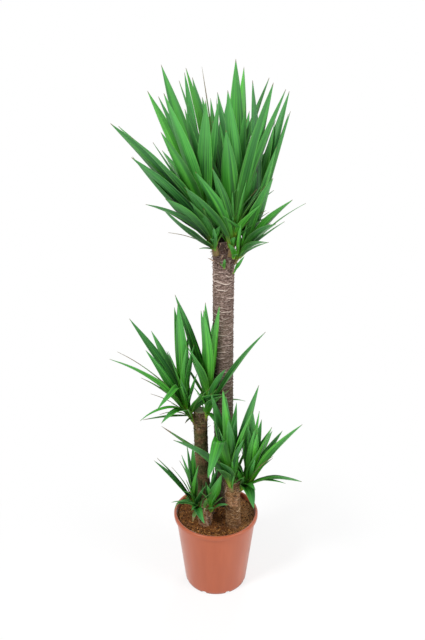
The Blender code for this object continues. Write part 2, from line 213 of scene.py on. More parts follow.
class Socket:
    """A node's output that can be used in sums."""

    def __init__(self, nodes, output):
        self.nodes, self.output = nodes, output

    __add__, __radd__ = arithmetic("ADD"), arithmetic("ADD", swapped=True)
    __sub__, __rsub__ = arithmetic("SUBTRACT"), arithmetic("SUBTRACT", swapped=True)
    __mul__, __rmul__ = arithmetic("MULTIPLY"), arithmetic("MULTIPLY", swapped=True)
    __pow__, __rpow__ = arithmetic("POWER"), arithmetic("POWER", swapped=True)

    def __abs__(self):
        return self.nodes.node("ShaderNodeMath", {"operation": "ABSOLUTE"}, {0: self})

    def between(self, low, high):
        """0 below low, 1 above high, and a soft slope between them."""
        limits = {"Value": self, "From Min": low, "From Max": high}
        return self.nodes.node("ShaderNodeMapRange", {"interpolation_type": "SMOOTHSTEP"}, limits)


class Nodes:
    """Adds nodes to one node tree."""

    def __init__(self, tree):
        self.tree = tree

    def node(self, kind, settings=None, inputs=None, output=0):
        made = self.tree.nodes.new(kind)
        for key, value in (settings or {}).items():
            setattr(made, key, value)
        for key, value in (inputs or {}).items():
            self.feed(made.inputs[key], value)
        return Socket(self, made.outputs[output])

    def feed(self, target, value):
        if isinstance(value, Socket):
            self.tree.links.new(value.output, target)
        else:
            target.default_value = value


print("a node's output now understands + - * ** abs() and .between()")

# %% [markdown]
# ## What every finish is mixed from
#
# A finish starts as one colour and takes coats over it, each with a mask that says where it
# covers. The masks come from noise, from where a point lies, or from an attribute of the mesh.
# Colours are given as a screen shows them and turned into the linear values that shaders use.
# What is the same all over, such as the sheen, is set on the shader itself.

# %% The paint
def srgb(*screen):
    """A colour as seen on a screen, 0 to 255 each, as linear values."""
    shares = [value / 255 for value in screen]
    return [v / 12.92 if v < 0.04045 else ((v + 0.055) / 1.055) ** 2.4 for v in shares]


class Paint(Nodes):
    """One material, built node by node around its Principled shader."""

    def __init__(self, name, **fixed):
        self.material = bpy.data.materials.new(name)
        self.material.use_nodes = True
        super().__init__(self.material.node_tree)
        self.shader = self.tree.nodes["Principled BSDF"]
        for key, value in fixed.items():
            self.shader.inputs[key.replace("_", " ")].default_value = value

    def coats(self, colour, *coats):
        """A colour under some coats: for each, how much it covers and its colour on a screen."""
        for cover, screen in coats:
            under = colour if isinstance(colour, Socket) else (*colour, 1.0)
            inputs = {0: cover, 6: under, 7: (*srgb(*screen), 1.0)}
            colour = self.node("ShaderNodeMix", {"data_type": "RGBA"}, inputs, output=2)
        return colour

    def darken(self, colour, share):
        """The colour multiplied by a number that changes over the surface."""
        return self.node("ShaderNodeVectorMath", {"operation": "SCALE"}, {0: colour, "Scale": share})

    def place(self, scale=(1, 1, 1), uv=False, shift=(0, 0, 0)):
        """Object coordinates, or the piece's own UV map, stretched per axis and moved."""
        source = self.node("ShaderNodeTexCoord", output="UV" if uv else "Object")
        return self.node("ShaderNodeMapping", None, {"Vector": source, "Scale": scale, "Location": shift})

    def axis(self, number, uv=False):
        """How far along one axis a point lies."""
        return self.node("ShaderNodeSeparateXYZ", None, {0: self.place(uv=uv)}, output=number)

    def noise(self, where, scale, detail=3.0, roughness=0.55):
        inputs = {"Vector": where, "Scale": scale, "Detail": detail, "Roughness": roughness}
        return self.node("ShaderNodeTexNoise", None, inputs)

    def attribute(self, name, output="Fac"):
        return self.node("ShaderNodeAttribute", {"attribute_name": name}, output=output)

    def finish(self, colour, roughness, height=None, bump=0.4, depth=0.001):
        """Feeds the shader, with a fine relief where a height is given, and hands the material over."""
        self.feed(self.shader.inputs["Base Color"], colour)
        self.feed(self.shader.inputs["Roughness"], roughness)
        if height is not None:
            inputs = {"Height": height, "Strength": bump, "Distance": depth}
            self.feed(self.shader.inputs["Normal"], self.node("ShaderNodeBump", None, inputs))
        print("finish", self.material.name, "has", len(self.tree.nodes), "nodes")
        return self.material


print("mid grey on a screen is", round(srgb(128)[0], 3), "to a shader")

# %% [markdown]
# ## The pot
#
# A nursery pot is moulded from thin plastic: a tapered wall, a rolled lip at the top, a rounded
# foot, and notches in the foot for drainage. It could be lathed with Spin from a drawn profile.
# Here it grows the way a potter would pull it: one circle is extruded and widened, step by step,
# up the outside, over the lip and down the inside, so the wall is one closed skin.

# %% Measures of the pot, and a way to pull a skin
POT_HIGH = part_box("pot")[1]
RIM_RADIUS, POT_TOP = POT_HIGH.x, POT_HIGH.z
FOOT_RADIUS = 0.100
WALL = 0.0025
FLOOR = 0.004
LIP_DEPTH = 0.016           # height of the band at the lip
LIP_PROUD = 0.007           # how far it stands out from the wall
LIP_ROLL = 0.0045           # radius of the roll at its top
LIP_ROLL_STEPS = 8
LIP_LOW = POT_TOP - LIP_DEPTH


def wall_radius(z):
    """Outside radius of the tapered wall at a height."""
    return FOOT_RADIUS + (RIM_RADIUS - LIP_PROUD - FOOT_RADIUS) * z / LIP_LOW


def pull_disc(name, profile, sides):
    """A closed skin: a disc whose rim is extruded through (radius, height) pairs and filled."""
    radius, z = profile[0]
    bpy.ops.mesh.primitive_circle_add(vertices=sides, radius=radius, fill_type="NGON", location=(0, 0, z))
    item = added(name)
    settle(item)
    edit(item, anything, "EDGE")
    for next_radius, next_z in profile[1:]:
        bpy.ops.mesh.extrude_edges_move(TRANSFORM_OT_translate={"value": (0, 0, next_z - z)})
        share = next_radius / radius
        bpy.ops.transform.resize(value=(share, share, 1), center_override=(0, 0, 0))
        radius, z = next_radius, next_z
    bpy.ops.mesh.edge_face_add()
    bpy.ops.mesh.select_all(action="SELECT")
    bpy.ops.mesh.normals_make_consistent(inside=False)
    done()
    return item


print("wall", round(wall_radius(LIP_LOW), 3), "m in radius under the lip,", FOOT_RADIUS, "m at the foot")

# %% [markdown]
# The profile is drawn from the foot up, as the mould is cut: the rounded foot, the tapered wall,
# the underside of the band, the rolled lip as a half circle, and back down the inside to the
# floor. Small radii on the edges matter, because they are what catches the light.

# %% Pull the pot up from a circle
FOOT_ROUND = 0.004          # how far the rounded foot draws in
EDGE_ROUND = 0.0012         # the small radius that a mould leaves on an edge
BAND_ROUND = 0.004          # height of the rounding at the band's lower edge
POT_SIDES = 144
WALL_ROWS = 14

profile = [(FOOT_RADIUS - FOOT_ROUND, 0), (FOOT_RADIUS - EDGE_ROUND, 0.0008), (FOOT_RADIUS, 0.003)]
profile += [(wall_radius(z), z) for z in np.linspace(0.012, LIP_LOW - EDGE_ROUND, WALL_ROWS)]
profile += [(wall_radius(LIP_LOW) + EDGE_ROUND, LIP_LOW), (RIM_RADIUS - 0.0022, LIP_LOW + 0.0002)]
profile += [(RIM_RADIUS - 0.0005, LIP_LOW + 0.0016), (RIM_RADIUS, LIP_LOW + BAND_ROUND)]
for step in range(LIP_ROLL_STEPS + 1):
    angle = math.pi * step / LIP_ROLL_STEPS
    in_by, down_by = LIP_ROLL * (1 - math.cos(angle)), LIP_ROLL * (1 - math.sin(angle))
    profile.append((RIM_RADIUS - in_by, POT_TOP - down_by))
profile.append((RIM_RADIUS - 2 * LIP_ROLL, LIP_LOW + BAND_ROUND))
profile.append((wall_radius(LIP_LOW) - WALL, LIP_LOW - BAND_ROUND))
profile += [(wall_radius(z) - WALL, z) for z in (0.16, 0.08, 0.012)]
profile += [(wall_radius(FLOOR) - WALL - 0.003, FLOOR), (0.05, FLOOR), (0.002, FLOOR)]
pot = pull_disc("nursery_pot", profile, POT_SIDES)
print("pot", len(pot.data.vertices), "vertices, rim", round(2 * RIM_RADIUS, 3), "m across")

# %% [markdown]
# ## Drain notches
#
# Water leaves such a pot through notches where the wall meets the floor. A notch is a place with
# nothing in it, so it is cut: one box with rounded edges is made once, turned to eight places
# round the foot, and taken away by a Boolean at each.

# %% Cut the drain notches
NOTCHES = 8
NOTCH_SIZE = (0.024, 0.015, 0.0135)     # through the wall, along it, and up, half of it below
NOTCH_ROUND = 0.003
NOTCH_INSET = 0.002                     # how far inside the foot's edge the box has its middle

bpy.ops.mesh.primitive_cube_add(size=1)
notch = added("notch")
settle(notch, NOTCH_SIZE)
modify(notch, "BEVEL", width=NOTCH_ROUND, segments=3, limit_method="ANGLE")
notch.data.transform(Matrix.Translation((FOOT_RADIUS - NOTCH_INSET, 0, 0)))
for k in range(NOTCHES):
    cutter = placed("cutter", notch.data.copy())
    cutter.data.transform(Matrix.Rotation(math.tau * (k + 0.5) / NOTCHES, 4, "Z"))
    modify(pot, "BOOLEAN", operation="DIFFERENCE", object=cutter, solver="EXACT")
    bpy.data.objects.remove(cutter)
bpy.data.objects.remove(notch)
smooth(pot, 32)
print("pot with notches", len(pot.data.polygons), "faces")

# %% [markdown]
# ## Terracotta plastic
#
# The plastic is terracotta-coloured polypropylene: satin, nearly even, a little paler where the
# light grazes the wall. A stretched noise gives faint lighter vertical streaks, flow marks from
# the mould together with a painted sheen, and a coarse one the dull patches that handling leaves.
# A touch of sheen stands for the fine matt skin of moulded plastic, which looks pale from the
# side. The bottom few millimetres of the foot are painted dark brown: a painted contact shadow.

# %% Paint the pot
plastic = Paint("terracotta_plastic", IOR=1.46, Sheen_Weight=0.50, Sheen_Roughness=0.36)
# Faint lighter vertical streaks: flow marks from the mould together with a painted sheen.
flow_marks_and_sheen = plastic.noise(plastic.place((16, 16, 0.8)), 3.0)
patches = plastic.noise(plastic.place(), 14.0)
grain = plastic.noise(plastic.place(), 900.0, detail=2)
height = plastic.axis(2)
tone = plastic.coats(
    srgb(167, 80, 44),
    (flow_marks_and_sheen.between(0.3, 0.75), (173, 85, 48)),
    (patches.between(0.45, 0.75) * 0.25, (164, 82, 52)),
    (height.between(LIP_LOW - 0.001, LIP_LOW + 0.006) * 0.5, (170, 86, 52)),
    # painted contact shadow: the bottom few millimetres of the foot darkened
    ((1 - height.between(0.001, 0.007)) * 0.7, (96, 44, 26)),
)
PLASTIC = plastic.finish(tone, patches * 0.12 + 0.30, grain, bump=0.06, depth=0.0003)
belongs(pot, "pot", PLASTIC, "pot")

# %% [markdown]
# ## The line of a blade
#
# Every blade follows a line: where its midrib runs, and which way it faces there. A bezier curve
# would hold the first but not the second, so the line is kept as points with a direction each.
# Between the points it is read off a smooth curve that passes through all of them.

# %% A line that knows which way it faces
def unit(vectors):
    return vectors / np.maximum(np.linalg.norm(vectors, axis=-1, keepdims=True), 1e-12)


def smooth_through(shares, points, wanted):
    """A curve through all the points, with a slope at each that looks to its neighbours."""
    slopes = np.gradient(points, shares, axis=0)
    spot = np.clip(np.searchsorted(shares, wanted, side="right") - 1, 0, len(shares) - 2)
    width = (shares[spot + 1] - shares[spot])[:, None]
    t = (wanted - shares[spot])[:, None] / width
    start, end = points[spot], points[spot + 1]
    rise, fall = slopes[spot] * width, slopes[spot + 1] * width
    t2, t3 = t * t, t * t * t
    ends = start * (2 * t3 - 3 * t2 + 1) + end * (3 * t2 - 2 * t3)
    return ends + rise * (t3 - 2 * t2 + t) + fall * (t3 - t2)


class Line:
    """A midrib with the side the blade faces, and the blade's greatest half width."""

    def __init__(self, points, faces, half):
        self.points, self.faces, self.half = np.array(points), np.array(faces), half
        steps = np.linalg.norm(np.diff(self.points, axis=0), axis=1)
        self.length = steps.sum()
        self.shares = np.concatenate([[0], np.cumsum(steps)]) / self.length

    def part(self, long, wide, turned):
        """The line cut to a share of its length, with a share of its width, and with the blade
        turned about it by some degrees."""
        points, across, faces = self.at(np.linspace(0, long, len(self.points)))
        turned = math.radians(turned)
        return Line(points, faces * math.cos(turned) + across * math.sin(turned), self.half * wide)

    def at(self, share):
        """Place, direction across and direction out of the face, for many shares of the length."""
        near = 0.004
        place = smooth_through(self.shares, self.points, share)
        ahead = smooth_through(self.shares, self.points, np.minimum(share + near, 1.0))
        behind = smooth_through(self.shares, self.points, np.maximum(share - near, 0.0))
        along = unit(ahead - behind)
        face = np.stack([np.interp(share, self.shares, self.faces[:, k]) for k in range(3)], axis=1)
        face = unit(face - along * (face * along).sum(axis=1, keepdims=True))
        return place, np.cross(along, face), face


trial = Line([(0, 0, 0), (0, 0, 0.1), (0, 0, 0.3)], [(0, -1, 0)] * 3, 0.02)
print("a trial line is", round(trial.length, 3), "m long and has", len(trial.shares), "points")

# %% [markdown]
# ## Reading the blades' own lines
#
# Every opened leaf of the measured model is a thin closed solid: rings of four points, drawn to a
# tip. The sharpest vertex is the tip. Walking from it, edge by edge, meets the rings one after
# another, and each ring tells where the midrib runs, which way the blade faces and how wide it
# is. That line is all that is needed to lay a finely modelled blade in the same place.

# %% Walk along each measured leaf
def welded(name):
    """A measured solid as one connected shape, since its triangles come loose."""
    shape = bmesh.new()
    shape.from_mesh(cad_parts[name].data)
    bmesh.ops.remove_doubles(shape, verts=shape.verts, dist=1e-5)
    return shape


def sharpness(vert):
    """The sum of the corners that the faces have at a vertex: small at a sharp tip."""
    total = 0.0
    for face in vert.link_faces:
        a, b = (e.other_vert(vert).co - vert.co for e in vert.link_edges if face in e.link_faces)
        total += a.angle(b)
    return total


def rings_from_tip(shape):
    """The tip, then ring after ring of the vertices that are one edge further on."""
    tip = min(shape.verts, key=sharpness)
    rings, seen = [[tip]], {tip}
    while rings[-1]:
        ring = {e.other_vert(v) for v in rings[-1] for e in v.link_edges} - seen
        seen |= ring
        rings.append(list(ring))
    return rings[:-1]


def line_of_solid(name):
    """Reads the line of one measured leaf."""
    shape = welded(name)
    (tip,), *rings = rings_from_tip(shape)
    points, faces, half = [tip.co.copy()], [], 0.0
    for ring in rings:
        pairs = [(a, b) for i, a in enumerate(ring) for b in ring[i + 1:]]
        left, right = max(pairs, key=lambda pair: (pair[0].co - pair[1].co).length)
        inner = [v.co for v in ring if v not in (left, right)]
        middle = sum(inner, Vector()) / len(inner)
        points.append(middle)
        faces.append((left.co + right.co) / 2 - middle)
        half = max(half, (left.co - right.co).length / 2)
    faces.insert(0, faces[0])
    shape.free()
    return Line(points[::-1], unit(np.array(faces[::-1])), half)


LEAF_NODES = sorted(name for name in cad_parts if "_leaf_" in name)
lines = {name: line_of_solid(name) for name in LEAF_NODES}
print(len(lines), "leaves, longest", round(max(line.length for line in lines.values()), 3), "m")

# %% [markdown]
# ## Shoots
#
# A yucca cane sends out a few shoots near its cut top, and each carries one rosette. The measured
# model joins a shoot with its youngest leaves in one solid, so their lines can't be read back
# from it. They follow a simple rule instead, which starts from where each shoot stands. A
# bearing is a compass angle, 0 to the front and 90 to the right, and a lean is the angle from
# upright.

# %% Where the shoots stand
# Shoot: foot of the stem, its bearing and lean, its length and its radius.
SHOOTS = {
    "crown_left": ((0.000, 0.010, 1.110), -60, 16, 0.115, 0.0105),
    "crown_front": ((0.039, 0.012, 1.105), 50, 8, 0.125, 0.0105),
    "crown_right": ((0.048, 0.034, 1.080), 85, 34, 0.095, 0.0095),
    "crown_back": ((0.012, 0.056, 1.105), 180, 12, 0.125, 0.0105),
    "medium_left": ((-0.065, 0.050, 0.545), -80, 22, 0.090, 0.0080),
    "medium_right": ((-0.034, 0.046, 0.560), 35, 12, 0.100, 0.0080),
    "short_front": ((0.048, -0.072, 0.380), -20, 8, 0.080, 0.0080),
    "short_right": ((0.068, -0.050, 0.360), 85, 34, 0.075, 0.0080),
    "stub_left": ((-0.048, -0.044, 0.275), -80, 22, 0.060, 0.0060),
    "stub_right": ((-0.018, -0.053, 0.278), 60, 6, 0.055, 0.0055),
}
print(len(SHOOTS), "shoots, the highest starts at", max(foot[2] for foot, *_ in SHOOTS.values()), "m")

# %% [markdown]
# ## Young leaves
#
# In the middle of each rosette the youngest leaves still stand close together, upright and
# bright. Each is one row of numbers, as a gardener would note it: where on the stem it starts,
# which way it points, how it bends, and its size.

# %% The young leaves, row by row
# Height of its foot on the stem (mm), bearing, lean at foot and tip, length and width (mm). A
# longer row goes on with how far its bearing swings, how far the blade is twisted, the share
# that is dried and brown, how young it looks and how dark it is.
YOUNG = {
    "crown_left": [
        (84, -52, 22, 30, 410, 44, 0, 25, 0.0, 1.0, 0.0),
        (88, -29, 25, 33, 415, 42, 0, 0, 0.0, 0.9, 0.0),
        (92, -132, 18, 24, 440, 42, 0, -40, 0.0, 0.3, 0.25),
        (96, 1, 24, 30, 380, 40, 0, 0, 0.0, 0.7, 0.1), (98, 150, 10, 14, 330, 28),
    ],
    "crown_front": [
        (92, -11, 18, 24, 390, 44, 0, 0, 0.0, 0.7, 0.05),
        (96, -8, 3, 7, 430, 50, 0, 0, 0.0, 0.4, 0.2),
        (100, 169, 12, 16, 410, 38, 0, 0, 0.0, 0.8, 0.1),
        (104, -161, 24, 28, 360, 32, 0, 0, 0.0, 0.2, 0.6),
    ],
    "crown_right": [
        (68, 50, 13, 19, 390, 20, 0, -25, 0.0, 0.1, 0.5), (72, 24, 19, 27, 310, 24),
        (76, -136, 0, 4, 430, 42, 0, 0, 0.0, 0.15, 0.45), (80, 150, 16, 22, 330, 28),
    ],
    "crown_back": [
        (96, -133, 15, 21, 420, 40, 0, 0, 0.0, 0.8, 0.05),
        (100, -149, 20, 26, 400, 36, 0, 0, 0.0, 0.2, 0.5), (104, -161, 25, 31, 350, 34),
        (106, 172, 23, 29, 340, 32), (112, -149, 11, 17, 400, 5, 0, 0, 0.4),
    ],
    "medium_left": [
        (68, -86, 9, 17, 200, 26), (72, -130, 1, 7, 325, 34, 0, -20), (76, 20, 6, 10, 220, 22),
        (80, 100, 8, 12, 190, 22),
    ],
    "medium_right": [
        (80, -49, 16, 26, 220, 34), (84, -14, 7, 13, 325, 34), (88, 40, 4, 10, 325, 34),
        (92, -170, 14, 20, 260, 28),
    ],
    "short_front": [
        (62, 59, 11, 19, 250, 34), (66, -154, 8, 14, 270, 32), (70, -60, 10, 16, 180, 22),
        (74, 160, 10, 14, 220, 24),
    ],
    "short_right": [
        (56, 84, 0, 5, 250, 30, 0, -30, 0.0, 0.9, 0.0),
        (58, 58, 12, 20, 220, 30, 0, 0, 0.0, 0.9, 0.0),
        (62, 11, 9, 17, 200, 26, 0, 0, 0.0, 1.0, 0.0), (66, 150, 12, 18, 190, 26),
    ],
    "stub_left": [
        (46, -112, 1, 7, 210, 20), (50, 178, 8, 14, 195, 20), (54, 40, 8, 12, 150, 16),
    ],
    "stub_right": [
        (40, -32, 10, 20, 90, 18), (44, 60, 4, 14, 160, 32), (48, 170, 14, 18, 110, 16),
    ],
}
REST = (0, 0, 0.0)          # the swing, twist and dried share of a row that ends with the width


def whole(row):
    """A row with what it leaves off, apart from a youth and a shade, filled in."""
    return (*row, *REST[len(row) - 6:])


print(sum(len(rows) for rows in YOUNG.values()), "young leaves noted")

# %% [markdown]
# ## How a leaf grows from its stem
#
# A leaf leaves its stem nearly along it, clasping it, and then bends over to its own lean. The
# line of a leaf is built from that rule in small steps: a growing point that turns a little at
# each, with the blade's face always square to the way it goes. A broken leaf also has a fold.

# %% The line of a leaf by rule
CLASP_SHARE = 0.16          # share of the length over which a leaf turns away from its stem
CLASP_SPREAD = 0.22         # how far it stands off the stem within that share
TWISTED_BY = 0.45           # share of the length by which a blade has its full twist
CREASE_REACH = 0.05         # share of the length in which a fold turns
LINE_STEPS = 60


def heading(bearing, lean):
    """The unit vector with a compass bearing and a lean from upright."""
    b, a = math.radians(bearing), math.radians(lean)
    return Vector((math.sin(a) * math.sin(b), -math.sin(a) * math.cos(b), math.cos(a)))


def ease(share):
    share = min(max(share, 0.0), 1.0)
    return share * share * (3 - 2 * share)


def line_by_rule(shoot, row, crease=0.0, fold=0.0, inside=0.35):
    """The line of a leaf that grows from this shoot. A fold is a sharp turn outwards, in
    degrees, at the crease, a share of the length."""
    foot, stem_bearing, stem_lean, _, radius = SHOOTS[shoot]
    height, bearing, lean, tip_lean, length, width, swing, twist = row
    stem = heading(stem_bearing, stem_lean)
    out = heading(bearing, 90)
    out = (out - stem * out.dot(stem)).normalized()
    place = Vector(foot) + stem * (height / 1000) + out * (radius * inside)
    points, faces = [place.copy()], []
    for k in range(LINE_STEPS + 1):
        share = (k + 0.5) / LINE_STEPS
        folded = ease((share - crease) / CREASE_REACH) if fold else 0.0
        now = lean + (tip_lean - lean) * share + fold * folded
        loose = ease(share / CLASP_SHARE)
        along = (stem + out * CLASP_SPREAD).lerp(heading(bearing + swing * share, now), loose)
        along.normalize()
        face = (-out).lerp(heading(bearing + swing * share, now - 90), loose)
        face = (face - along * face.dot(along)).normalized()
        turned = twist * ease(share / TWISTED_BY) * (1 - 2 * folded)
        faces.append(Matrix.Rotation(math.radians(turned), 3, along) @ face)
        if k < LINE_STEPS:
            place = place + along * (length / 1000 / LINE_STEPS)
            points.append(place.copy())
    return Line(points, faces, width / 2000)


trial = line_by_rule("crown_front", whole(YOUNG["crown_front"][0])[:8])
print("the first young leaf of crown_front is", round(trial.length, 3), "m long")

# %% [markdown]
# ## One blade, modelled once
#
# A yucca leaf is a long sword: narrow where it clasps the stem, widest before the middle, then
# drawn out to a hard point. It is leathery, about a millimetre thick, with a thin horny edge.
# One blade is modelled flat at full size: a grid, narrowed row by row, then given its thickness.
# Every leaf on the plant is a copy of it, laid along its own line and varied a little.

# %% Model the blade flat
BLADE_LENGTH, BLADE_HALF, BLADE_THICK = 0.40, 0.020, 0.0010
BLADE_ROWS, BLADE_COLUMNS = 30, 8
NECK = 0.36                 # width at the foot, as a share of the greatest
WIDEST = 0.44               # share of the length at which the blade is widest
POINT = 0.012               # width of the very tip


def blade_width(share):
    """Width of the blade at a share of its length, as a share of the greatest width."""
    if share < WIDEST:
        return NECK + (1 - NECK) * math.sin(math.pi / 2 * share / WIDEST) ** 1.3
    return max(1 - ((share - WIDEST) / (1 - WIDEST)) ** 1.75, POINT)


def strip(name, columns, length, wide, outline):
    """A flat strip, narrowed and lifted row by row to the shares and heights of its outline."""
    rows = len(outline) - 1
    middle = (0, length / 2, 0)
    bpy.ops.mesh.primitive_grid_add(x_subdivisions=columns, y_subdivisions=rows, size=1, location=middle)
    item = added(name)
    settle(item, (wide, length, 1))
    for row, (share, lift) in enumerate(outline):
        y = row * length / rows
        edit(item, lambda v: abs(v.co.y - y) < length / rows / 4)
        bpy.ops.transform.resize(value=(share, 1, 1), center_override=(0, y, 0))
        bpy.ops.transform.translate(value=(0, 0, lift))
    done()
    return item


outline = [(blade_width(row / BLADE_ROWS), 0) for row in range(BLADE_ROWS + 1)]
blade = strip("blade", BLADE_COLUMNS, BLADE_LENGTH, 2 * BLADE_HALF, outline)
modify(blade, "SOLIDIFY", thickness=BLADE_THICK, offset=0.0, use_even_offset=False)
stamp(blade.data, "upper_side", np.array([v.normal.z > 0 for v in blade.data.vertices], float))
smooth(blade)
blade.hide_render = blade.hide_viewport = True
print("blade", len(blade.data.polygons), "faces")

# %% [markdown]
# ## Laying a blade
#
# Laying a blade could be left to a Curve modifier, but that rolls a blade over wherever its line
# runs upright, which most of these do. A few lines of vector sums keep each blade facing the way
# its line says. The same step folds it into its channel, deep at the foot and shallow at the
# tip, and gives each copy its own slow waves along the edges.

# %% Lay copies along their lines
CHANNEL_FOOT, CHANNEL_TIP = 0.58, 0.24      # how steeply each half of a blade rises
KEEL = 0.08                                 # half width of the rounded middle, as a share
BOW = 0.010                                 # greatest sideways bow, as a share of the length


def tint(mesh, youth, shade, dry, chance):
    """Keeps a leaf's mixture for its paint, in the four parts of one colour."""
    mixture = np.empty((len(mesh.vertices), 4))
    for k, value in enumerate((youth, shade, dry, chance)):
        mixture[:, k] = value
    mesh.attributes.new("tone", "FLOAT_COLOR", "POINT").data.foreach_set("color", mixture.ravel())


def lay(name, line, seed, youth, shade, dry=0.0, waves=1.0, drawn=1.0):
    """A copy of the blade along a line, with its own waves and its own tone. A drawn below 1
    keeps the blade wide for longer."""
    luck = random.Random(seed)
    mesh = blade.data.copy()
    mesh.name = name
    flat = points_of(mesh)
    share = np.clip(flat[:, 1] / BLADE_LENGTH, 0, 1)
    width = flat[:, 0] * line.half / BLADE_HALF
    place, across, face = line.at(share**drawn)
    depth = luck.uniform(0.9, 1.7) * (CHANNEL_FOOT - (CHANNEL_FOOT - CHANNEL_TIP) * share)
    keel = KEEL * line.half
    lift = depth * (np.sqrt(width**2 + keel**2) - keel)
    fade = np.sin(np.pi * np.clip(share * 1.05, 0, 1)) ** 0.7
    for side in (-1, 1):
        turns, start = luck.uniform(1.0, 2.6), luck.uniform(0, math.tau)
        size = line.half * luck.uniform(0.04, 0.13) * waves
        half_blade = np.clip(side * width / line.half, 0, 1) ** 1.5
        lift = lift + size * fade * half_blade * np.sin(math.tau * turns * share + start)
    bow = luck.uniform(-1, 1) * BOW * line.length * waves
    bowed = width + bow * np.sin(math.pi * share) ** 2
    move_points(mesh, place + across * bowed[:, None] + face * (lift + flat[:, 2])[:, None])
    tint(mesh, youth, shade, dry, luck.random())
    return placed(name, mesh)


print("each copy moves", len(blade.data.vertices), "vertices")

# %% [markdown]
# ## Leaf green
#
# A leaf's colour runs along it and across it: pale where it clasps the stem, full green in the
# blade, a fine paler edge, a brown needle at the tip, and hundreds of parallel veins. All of
# that follows the blade, so it is painted on the blade's own UV map. Old leaves are dark and
# bluish, young ones yellow-green, and each copy carries its own mixture as an attribute. Its
# shade share also darkens leaves that sit deep in the plant or at its back: a painted shade.

# %% Masks that follow the blade
leaf_paint = Paint("leaf", IOR=1.45, Specular_IOR_Level=0.24)
mixture = leaf_paint.attribute("tone", output="Color")
youth, shade, dry = (
    leaf_paint.node("ShaderNodeSeparateColor", None, {0: mixture}, output=k) for k in range(3)
)
chance = leaf_paint.attribute("tone", output="Alpha")
upper_side = leaf_paint.attribute("upper_side")
across_u, along_v = leaf_paint.axis(0, uv=True), leaf_paint.axis(1, uv=True)
off_middle = abs(across_u - 0.5) * 2
veins = leaf_paint.noise(leaf_paint.place((46, 1.1, 1), True, chance * 31), 1.0, roughness=0.7)
ribs = leaf_paint.noise(leaf_paint.place((13, 0.6, 1), True, chance * 57), 1.0, 2, 0.6)
broad = leaf_paint.noise(leaf_paint.place((4, 1.3, 1), True, chance * 23), 1.0, 2)
blotch = leaf_paint.noise(leaf_paint.place(), 16.0, detail=2)
print("masks for the leaf:", len(leaf_paint.tree.nodes), "nodes")

# %% [markdown]
# The coats go from wide to narrow: first what a whole leaf looks like, then broad patches, then
# ribs and veins, and last the edge, the foot and the tip. The outer half of each blade is painted
# paler and bluish, a painted highlight where it catches the light. Light sinks into the heart of
# a rosette, so a leaf is also painted darker towards its foot, a painted shade, an old one more
# than a young one.

# %% Paint the leaf
# One half of a blade catches less light than the other; chance picks which.
duller_half = ((across_u - 0.5) * (chance - 0.5)).between(-0.002, 0.006)
green = leaf_paint.coats(
    srgb(20, 104, 20),
    (youth, (84, 184, 20)),
    (chance.between(0.6, 1.0) * 0.50, (56, 132, 88)),
    # painted shade as well as age: leaves deep in the plant or at its back are darker
    (shade, (2, 36, 10)),
    ((1 - upper_side) * 0.22, (80, 138, 82)),
    (broad.between(0.42, 0.72) * 0.30, (46, 146, 38)),
    (blotch.between(0.5, 0.75) * 0.25, (16, 80, 24)),
    ((1 - broad.between(0.32, 0.46)) * 0.40, (4, 50, 14)),
    (duller_half * 0.44, (4, 52, 18)),
    ((1 - ribs.between(0.36, 0.49)) * 0.46, (4, 46, 12)),
    (ribs.between(0.50, 0.64) * 0.36, (102, 196, 58)),
    # painted highlight: the outer half of the blade paler and bluish
    (along_v.between(0.42, 1.0) * 0.38, (100, 172, 104)),
)
foot_light = 0.16 + youth * 0.34
light = veins * 0.8 + along_v.between(0.1, 0.72) * (0.76 - foot_light) + foot_light
brown_tip = (along_v - (0.975 - dry * 0.5)).between(-0.004, 0.02)
green = leaf_paint.coats(
    leaf_paint.darken(green, light),
    ((1 - off_middle.between(0.0, 0.10)) * 0.22, (96, 164, 62)),
    (off_middle.between(0.90, 1.0) * 0.36, (112, 164, 84)),
    ((1 - along_v.between(0.08, 0.50)) * youth * 0.6, (92, 186, 18)),
    ((1 - along_v.between(0.0, 0.19)) * 0.6, (150, 176, 52)),
    (brown_tip * 0.85, (112, 84, 56)),
    (dry * 0.6, (128, 108, 70)),
)
LEAF = leaf_paint.finish(green, blotch * 0.14 + 0.34, veins + ribs, bump=0.45, depth=0.0008)

# %% [markdown]
# ## The opened leaves
#
# Each opened leaf of the measured model gets a copy of the blade along its line, and the copy
# takes the solid's place. About half take their tone by chance; the others, whose tone stands
# out on the plant, have it written down. How dark a leaf is stands partly for its age and partly
# for painted shade where it lies deep in the plant. A few are also drawn slighter than their
# solids, or turned to show more of their face.

# %% Lay every opened leaf
# How dark the leaves of a shoot are painted by its place on the plant: a painted shade, deepest at the
# back.
SHADE = {"crown_back": 0.85, "crown_left": 0.40, "crown_right": 0.50, "medium_left": 0.15}
# How young a leaf looks and how dark it is.
OPENED_TONES = {
    "crown_left_leaf_1": (0.0, 0.90), "crown_left_leaf_2": (0.1, 0.85),
    "crown_left_leaf_3": (0.3, 0.15), "crown_left_leaf_5": (0.1, 0.45),
    "crown_left_leaf_6": (0.6, 0.05), "crown_front_leaf_1": (0.1, 0.45),
    "crown_front_leaf_2": (0.4, 0.10), "crown_front_leaf_3": (0.2, 0.40),
    "crown_front_leaf_4": (0.4, 0.10), "crown_front_leaf_5": (0.4, 0.05),
    "crown_right_leaf_4": (0.6, 0.15), "crown_right_leaf_5": (0.3, 0.20),
    "crown_right_leaf_6": (0.2, 0.35), "medium_left_leaf_3": (0.2, 0.35),
    "medium_right_leaf_3": (0.4, 0.10), "medium_right_leaf_5": (0.2, 0.50),
    "short_front_leaf_1": (0.1, 0.45), "short_front_leaf_2": (0.3, 0.50),
    "short_right_leaf_1": (0.2, 0.60), "short_right_leaf_2": (0.3, 0.35),
    "short_right_leaf_3": (0.7, 0.05), "short_right_leaf_4": (0.1, 0.50),
    "stub_left_leaf_3": (0.1, 0.65),
}
